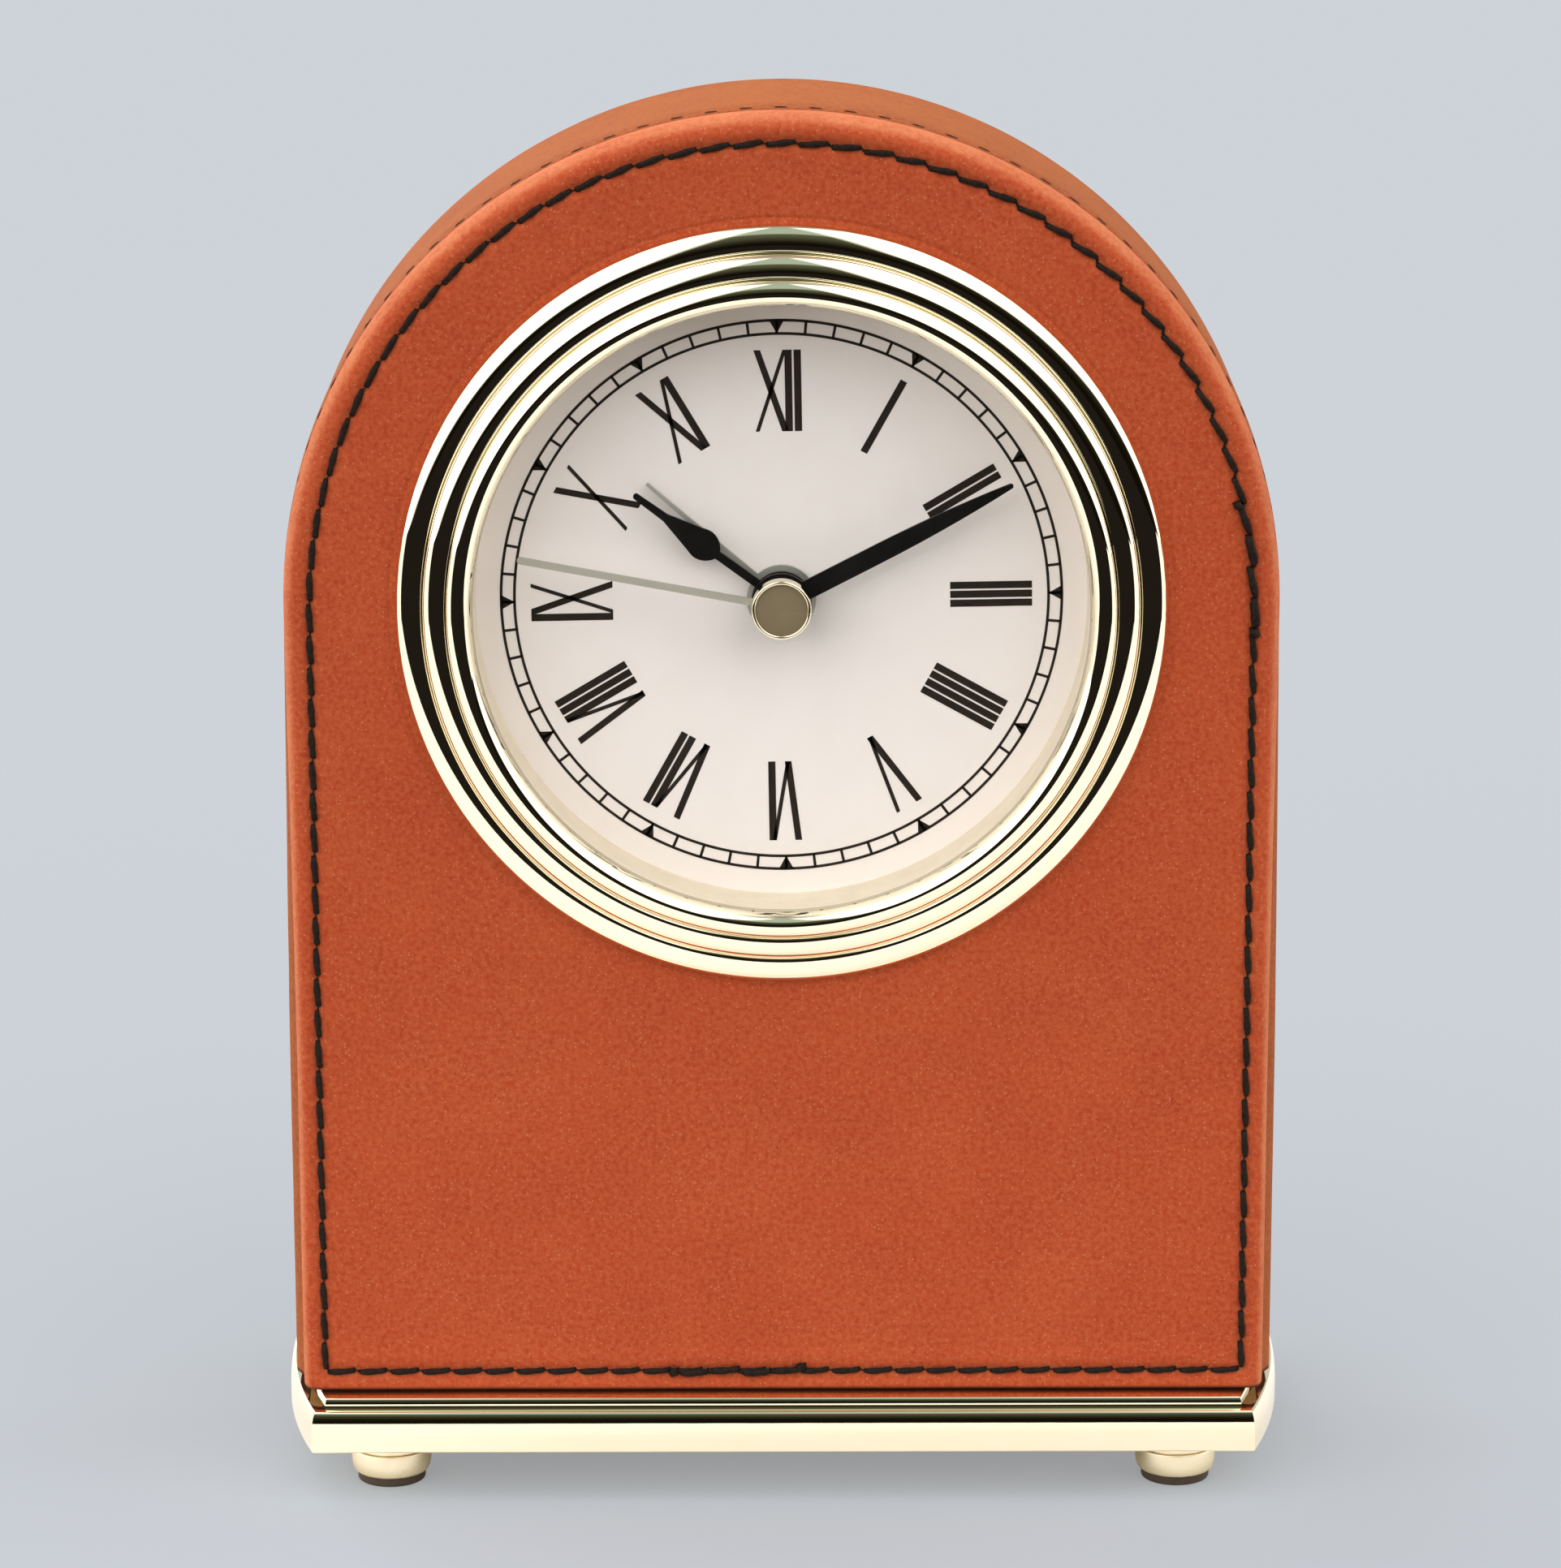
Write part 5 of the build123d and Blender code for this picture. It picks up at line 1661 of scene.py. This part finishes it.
@dataclass
class DialPrint:
    """Printed minute track and Roman numerals, raised by the ink's thickness."""

    form: CaseForm
    face_depth: float
    ink: float = 0.03
    ink_base: float = 0.002
    turn_degrees: float = -0.9
    track_outer: float = 30.1
    track_inner: float = 28.67
    line: float = 0.3
    triangle_base: float = 1.6
    foot: float = 18.1
    head: float = 26.9
    bar: float = 0.78
    bar_gap: float = 0.2
    thick: float = 0.72
    thin: float = 0.42
    cross_width: float = 3.3
    cross_join: float = 0.36
    cross_foot: float = 0.1
    vee_width: float = 2.75
    numerals: tuple[str, ...] = (
        "XII", "I", "II", "III", "IIII", "V", "VI", "VII", "VIII", "IX", "X", "XI",
    )

    def prism(self, outline: Sequence[Flat], hours: float) -> tuple[Grid, list]:
        """Raised print of an outline that is drawn at twelve.

        Args:
            outline: Corners, x clockwise and y outwards from the hand axis.
            hours: Hour on the dial that the outline is turned to.

        Returns:
            The two rings of points and the faces.
        """
        turn = math.radians(30 * hours + self.turn_degrees)
        rings = []
        for depth in (self.face_depth - self.ink, self.face_depth - self.ink_base):
            ring = []
            for x, y in outline:
                across = x * math.cos(turn) + y * math.sin(turn)
                height = y * math.cos(turn) - x * math.sin(turn)
                ring.append(self.form.at(across, depth, self.form.axis + height))
            rings.append(ring)
        count = len(outline)
        faces = join_rows(2, count, False, True)
        faces += [tuple(range(count)), tuple(range(count, 2 * count))]
        return rings, faces

    def circle(self, radius: float, steps: int = 360) -> tuple[Grid, list]:
        """Printed circle line.

        Args:
            radius: Radius of the line.
            steps: Columns round it.

        Returns:
            The rows of points and the faces.
        """
        rows = []
        for reach, depth in ((radius - self.line / 2, self.face_depth - self.ink_base),
                             (radius - self.line / 2, self.face_depth - self.ink),
                             (radius + self.line / 2, self.face_depth - self.ink),
                             (radius + self.line / 2, self.face_depth - self.ink_base)):
            rows.append([
                self.form.at(reach * math.sin(angle), depth, self.form.axis + reach * math.cos(angle))
                for angle in spread(0.0, 2 * math.pi, steps + 1)[:-1]
            ])
        return rows, join_rows(4, steps, True, True)

    def stroke(self, left: float, top_left: float, width: float) -> list[Flat]:
        """Straight stroke from the feet to the heads.

        Args:
            left: Left edge at the feet.
            top_left: Left edge at the heads.
            width: Width across.

        Returns:
            The stroke's corners.
        """
        feet = [(left, self.foot), (left + width, self.foot)]
        return feet + [(top_left + width, self.head), (top_left, self.head)]

    def numeral(self, letters: str) -> list[list[Flat]]:
        """Strokes of a numeral, centred on its hour.

        Args:
            letters: The numeral's letters.

        Returns:
            The outlines of its strokes.
        """
        strokes = []
        left = 0.0
        right = 0.0
        for letter in letters:
            if letter == "I":
                strokes.append(self.stroke(left, left, self.bar))
                right = left + self.bar
                left += self.bar + self.bar_gap
            elif letter == "V":
                middle = left + self.vee_width / 2
                strokes.append(self.stroke(middle - self.thick / 2, left, self.thick))
                strokes.append(self.stroke(middle - self.thin / 2, left + self.vee_width, self.thin))
                right = left + self.vee_width + self.thin
                left += self.vee_width
            else:
                left -= self.cross_join if strokes else 0.0
                strokes.append(self.stroke(left + self.cross_width - self.thick / 2, left, self.thick))
                head = left + self.cross_width - self.thin / 2
                strokes.append(self.stroke(left + self.cross_foot, head, self.thin))
                right = left + self.cross_width + self.thick / 2
                left += self.cross_width
        return [[(x - right / 2, y) for x, y in stroke] for stroke in strokes]

    def build(self) -> bpy.types.Object:
        """Make the whole print as one piece on the dial.

        Returns:
            The new object.
        """
        parts = [self.circle(self.track_outer), self.circle(self.track_inner)]
        for minute in range(60):
            half = self.line / 2
            tick = [(-half, self.track_inner), (half, self.track_inner),
                    (half, self.track_outer), (-half, self.track_outer)]
            parts.append(self.prism(tick, minute / 5))
        for hour, letters in enumerate(self.numerals):
            half = self.triangle_base / 2
            arrow = [(0.0, self.track_inner), (half, self.track_outer), (-half, self.track_outer)]
            parts.append(self.prism(arrow, hour))
            parts += [self.prism(stroke, hour) for stroke in self.numeral(letters)]
        points, faces = merge(parts)
        return Piece("dial_print", "case", INK, "dial_face", 30.0).make(points, faces)


@dataclass
class CadFinishes:
    """Finishes of the CAD nodes that keep their own shape."""

    finishes: dict[str, Finish] = field(default_factory=lambda: {
        "case_core": BOARD, "back_board": FELT, "base_plate": POLISHED_GOLD, "case_screws": STEEL,
        "foot_front_left": SATIN_GOLD, "foot_front_right": SATIN_GOLD,
        "foot_rear_left": SATIN_GOLD, "foot_rear_right": SATIN_GOLD,
        "foot_pad_front_left": RUBBER, "foot_pad_front_right": RUBBER,
        "foot_pad_rear_left": RUBBER, "foot_pad_rear_right": RUBBER,
        "insert_cup": BLACK_PLASTIC, "grip_ring": GRIP_RUBBER, "bezel": POLISHED_GOLD,
        "crystal": CRYSTAL, "reflector_ring": CREAM_WALL, "dial": DIAL_PAINT,
        "alarm_hand": SILVER, "hour_hand": BLACK_PAINT, "minute_hand": BLACK_PAINT,
        "second_hand": PALE_METAL, "hand_cap": POLISHED_GOLD,
        "alarm_wheel": WHEEL_PLASTIC, "hour_wheel": WHEEL_PLASTIC, "cannon_pinion": WHEEL_PLASTIC,
        "motion_wheel": WHEEL_PLASTIC, "centre_wheel": WHEEL_PLASTIC, "third_wheel": WHEEL_PLASTIC,
        "seconds_wheel": WHEEL_PLASTIC, "step_wheel": WHEEL_PLASTIC, "rotor": MAGNET,
        "train_bridge": BLACK_PLASTIC, "stator": STEEL, "coil": COPPER, "movement_screws": STEEL,
        "circuit_board": CIRCUIT, "circuit_chip": CHIP, "quartz_can": STEEL,
        "rear_cover": BLACK_PLASTIC, "battery": JACKET, "battery_cover": BLACK_PLASTIC,
        "contact_positive": STEEL, "contact_negative": STEEL, "set_knob": BLACK_PLASTIC,
        "alarm_knob": BLACK_PLASTIC, "alarm_switch": BLACK_PLASTIC, "buzzer": BRASS,
    })

    def dress(self) -> None:
        """Give each node its finish."""
        for name, finish in self.finishes.items():
            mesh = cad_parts[name].data
            mesh.materials.clear()
            mesh.materials.append(finish.material())
        log.info("CAD nodes dressed: %d", len(self.finishes))


@dataclass
class Studio:
    """White light tent with a pale floor, open towards the camera. Lengths in metres, angles in degrees.

    Bearings are 0 towards the camera and grow to the right.
    """

    floor_reach: float = 4.0
    paper_side: float = 0.38
    paper_front: float = -0.24
    wide_front: float = -0.03
    wide_slope: float = 0.5
    paper: Colour = (0.78, 0.78, 0.78, 1.0)
    bounce: Colour = (0.42, 0.42, 0.42, 1.0)
    seen_paper: Colour = (0.36, 0.385, 0.415, 1.0)
    table: Colour = (0.008, 0.007, 0.006, 1.0)
    backdrop: Colour = (0.62, 0.65, 0.69, 1.0)
    fill: float = 0.42
    fade_start: float = 0.25
    fade_end: float = 0.9
    panel: Colour = (2.25, 2.25, 2.25, 1.0)
    gap: Colour = (0.43, 0.54, 0.50, 1.0)
    opening: Colour = (0.006, 0.005, 0.003, 1.0)
    haze: Colour = (0.11, 0.12, 0.08, 1.0)
    roof: Colour = (0.42, 0.43, 0.40, 1.0)
    rear: Colour = (0.62, 0.60, 0.56, 1.0)
    gap_bearing: float = 12.0
    gap_core: float = 7.0
    panel_blur: float = 3.0
    opening_heights: Flat = (2.0, 40.0)
    gap_heights: Flat = (35.0, 41.0)
    roof_heights: Flat = (72.0, 84.0)
    rear_right: Flat = (95.0, 140.0)
    rear_left: Flat = (-172.0, -155.0)
    left_far: tuple[float, float] = (-100.0, -14.0)
    left_near: tuple[float, float] = (-15.0, 10.0)
    right_near: tuple[float, float] = (42.0, 16.0)
    right_far: tuple[float, float] = (101.0, -12.0)

    def build(self) -> None:
        """Add the floor and the tent."""
        self.floor()
        self.tent()

    def floor(self) -> None:
        """Pale paper under the clock, that ends in front of it at the tent's opening."""
        reach = self.floor_reach
        mesh = bpy.data.meshes.new("floor")
        corners = [(-reach, -reach, 0), (reach, -reach, 0), (reach, reach, 0), (-reach, reach, 0)]
        mesh.from_pydata(corners, [], [(0, 1, 2, 3)])
        ground = bpy.data.objects.new("floor", mesh)
        bpy.context.scene.collection.objects.link(ground)
        material = bpy.data.materials.new("floor_paper")
        material.use_nodes = True
        material.node_tree.nodes.clear()
        shader = Shader(material.node_tree)
        place = shader.add("ShaderNodeNewGeometry").outputs["Position"]
        parts = shader.add("ShaderNodeSeparateXYZ", {0: place})
        beside = shader.math("LESS_THAN", shader.math("ABSOLUTE", parts.outputs["X"]), self.paper_side)
        behind = shader.math("GREATER_THAN", parts.outputs["Y"], self.paper_front)
        slope = shader.math("MULTIPLY", shader.math("ABSOLUTE", parts.outputs["X"]), self.wide_slope)
        wide = shader.math("GREATER_THAN", shader.math("ADD", parts.outputs["Y"], slope), self.wide_front)
        sheet = shader.math("MAXIMUM", shader.math("MULTIPLY", beside, behind), wide)
        path = shader.add("ShaderNodeLightPath")
        seen = path.outputs["Is Camera Ray"]
        bright = shader.mix(path.outputs["Is Diffuse Ray"], self.paper, self.bounce)
        lit = shader.mix(sheet, self.table, bright)
        colour = shader.mix(seen, lit, self.seen_paper)
        matt = shader.add("ShaderNodeBsdfDiffuse", {"Color": colour}).outputs[0]
        glow = shader.add("ShaderNodeEmission", {"Color": self.backdrop}).outputs[0]
        away = shader.add("ShaderNodeVectorMath", {0: place}, operation="LENGTH").outputs["Value"]
        fade = shader.remap(away, self.fade_start, self.fade_end, self.fill, 1.0)
        far = shader.math("MULTIPLY", fade, seen)
        surface = shader.add("ShaderNodeMixShader", {0: far, 1: matt, 2: glow}).outputs[0]
        shader.add("ShaderNodeOutputMaterial", {"Surface": surface})
        mesh.materials.append(material)

    def panel_share(self, shader: Shader, bearing: Socket, height: Socket, ends: Sequence[Flat]) -> Socket:
        """Share of a tent panel in a direction.

        Args:
            shader: Node tree of the world.
            bearing: Bearing of the direction.
            height: Height of the direction over the horizon.
            ends: Bearing and height of the two ends of the panel's lower edge.

        Returns:
            1 on the panel and 0 below it.
        """
        (first, first_height), (last, last_height) = ends
        inputs = {"Value": bearing, "From Min": first, "From Max": last,
                  "To Min": first_height, "To Max": last_height}
        edge = shader.add("ShaderNodeMapRange", inputs).outputs["Result"]
        return shader.remap(shader.math("SUBTRACT", height, edge), -self.panel_blur, self.panel_blur)

    def tent(self) -> None:
        """Two bright panels with a gap between them, a dim roof and the dark opening in front."""
        world = bpy.data.worlds.new("light_tent")
        bpy.context.scene.world = world
        world.use_nodes = True
        world.node_tree.nodes.clear()
        shader = Shader(world.node_tree)
        sky = shader.add("ShaderNodeTexCoord").outputs["Generated"]
        parts = shader.add("ShaderNodeSeparateXYZ", {0: sky})
        ahead = shader.math("MULTIPLY", parts.outputs["Y"], -1.0)
        bearing = shader.math("DEGREES", shader.math("ARCTAN2", parts.outputs["X"], ahead))
        height = shader.math("DEGREES", shader.math("ARCSINE", parts.outputs["Z"]))
        left = self.panel_share(shader, bearing, height, (self.left_far, self.left_near))
        ending = shader.remap(bearing, -self.gap_bearing, -self.gap_core, 1.0, 0.0)
        left = shader.math("MULTIPLY", left, ending)
        right = self.panel_share(shader, bearing, height, (self.right_near, self.right_far))
        right = shader.math("MULTIPLY", right, shader.remap(bearing, self.gap_core, self.gap_bearing))
        dark = shader.mix(shader.remap(height, *self.opening_heights), self.opening, self.haze)
        middle = shader.mix(shader.remap(height, *self.gap_heights), dark, self.gap)
        sides = shader.mix(shader.math("MAXIMUM", left, right), middle, self.panel)
        roofed = shader.mix(shader.remap(height, *self.roof_heights), sides, self.roof)
        turned = shader.remap(bearing, *self.rear_right)
        behind = shader.math("MAXIMUM", turned, shader.remap(bearing, *self.rear_left, 1.0, 0.0))
        room = shader.mix(behind, roofed, self.rear)
        seen = shader.add("ShaderNodeLightPath").outputs["Is Camera Ray"]
        colour = shader.mix(seen, room, self.backdrop)
        glow = shader.add("ShaderNodeBackground", {"Color": colour, "Strength": 1.0}).outputs[0]
        shader.add("ShaderNodeOutputWorld", {"Surface": glow})


@dataclass
class PhotoCamera:
    """Camera of the photograph."""

    target: tuple[float, float, float] = (-0.00015, -0.0216, 0.0801)
    distance: float = 0.6396
    elevation_degrees: float = 13.92
    roll_degrees: float = -0.125
    lens: float = 136.77
    sensor: float = 36.0

    def build(self) -> None:
        """Place the camera and make it the scene's own."""
        data = bpy.data.cameras.new("photo_camera")
        data.lens = self.lens
        data.sensor_width = self.sensor
        camera = bpy.data.objects.new("photo_camera", data)
        rise = math.radians(self.elevation_degrees)
        away = Vector((0.0, -math.cos(rise), math.sin(rise)))
        camera.location = Vector(self.target) + away * self.distance
        roll = Matrix.Rotation(math.radians(self.roll_degrees), 3, "Z")
        turn = (-away).to_track_quat("-Z", "Y").to_matrix() @ roll
        camera.rotation_euler = turn.to_euler()
        bpy.context.scene.collection.objects.link(camera)
        bpy.context.scene.camera = camera


def main() -> None:
    """Build every piece in order; each piece logs its face count."""
    logging.basicConfig(level=logging.INFO, format="%(name)s: %(message)s")
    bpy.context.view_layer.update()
    bpy.context.scene.view_settings.view_transform = "Standard"
    PhotoCamera().build()
    Studio().build()
    CadFinishes().dress()
    form = CaseForm.read()
    seam = Seam(form)
    FrontLeather(form, seam).build()
    SideLeather(form).build()
    Sewing(form, seam).build()
    Bezel(form).build()
    BasePlate().build()
    for place in ("front_left", "front_right", "rear_left", "rear_right"):
        Foot(place).build()
    HandCap(form).build()
    DialPrint(form, node_box("dial")[0].y - form.face).build()


if __name__ == "__main__":
    main()
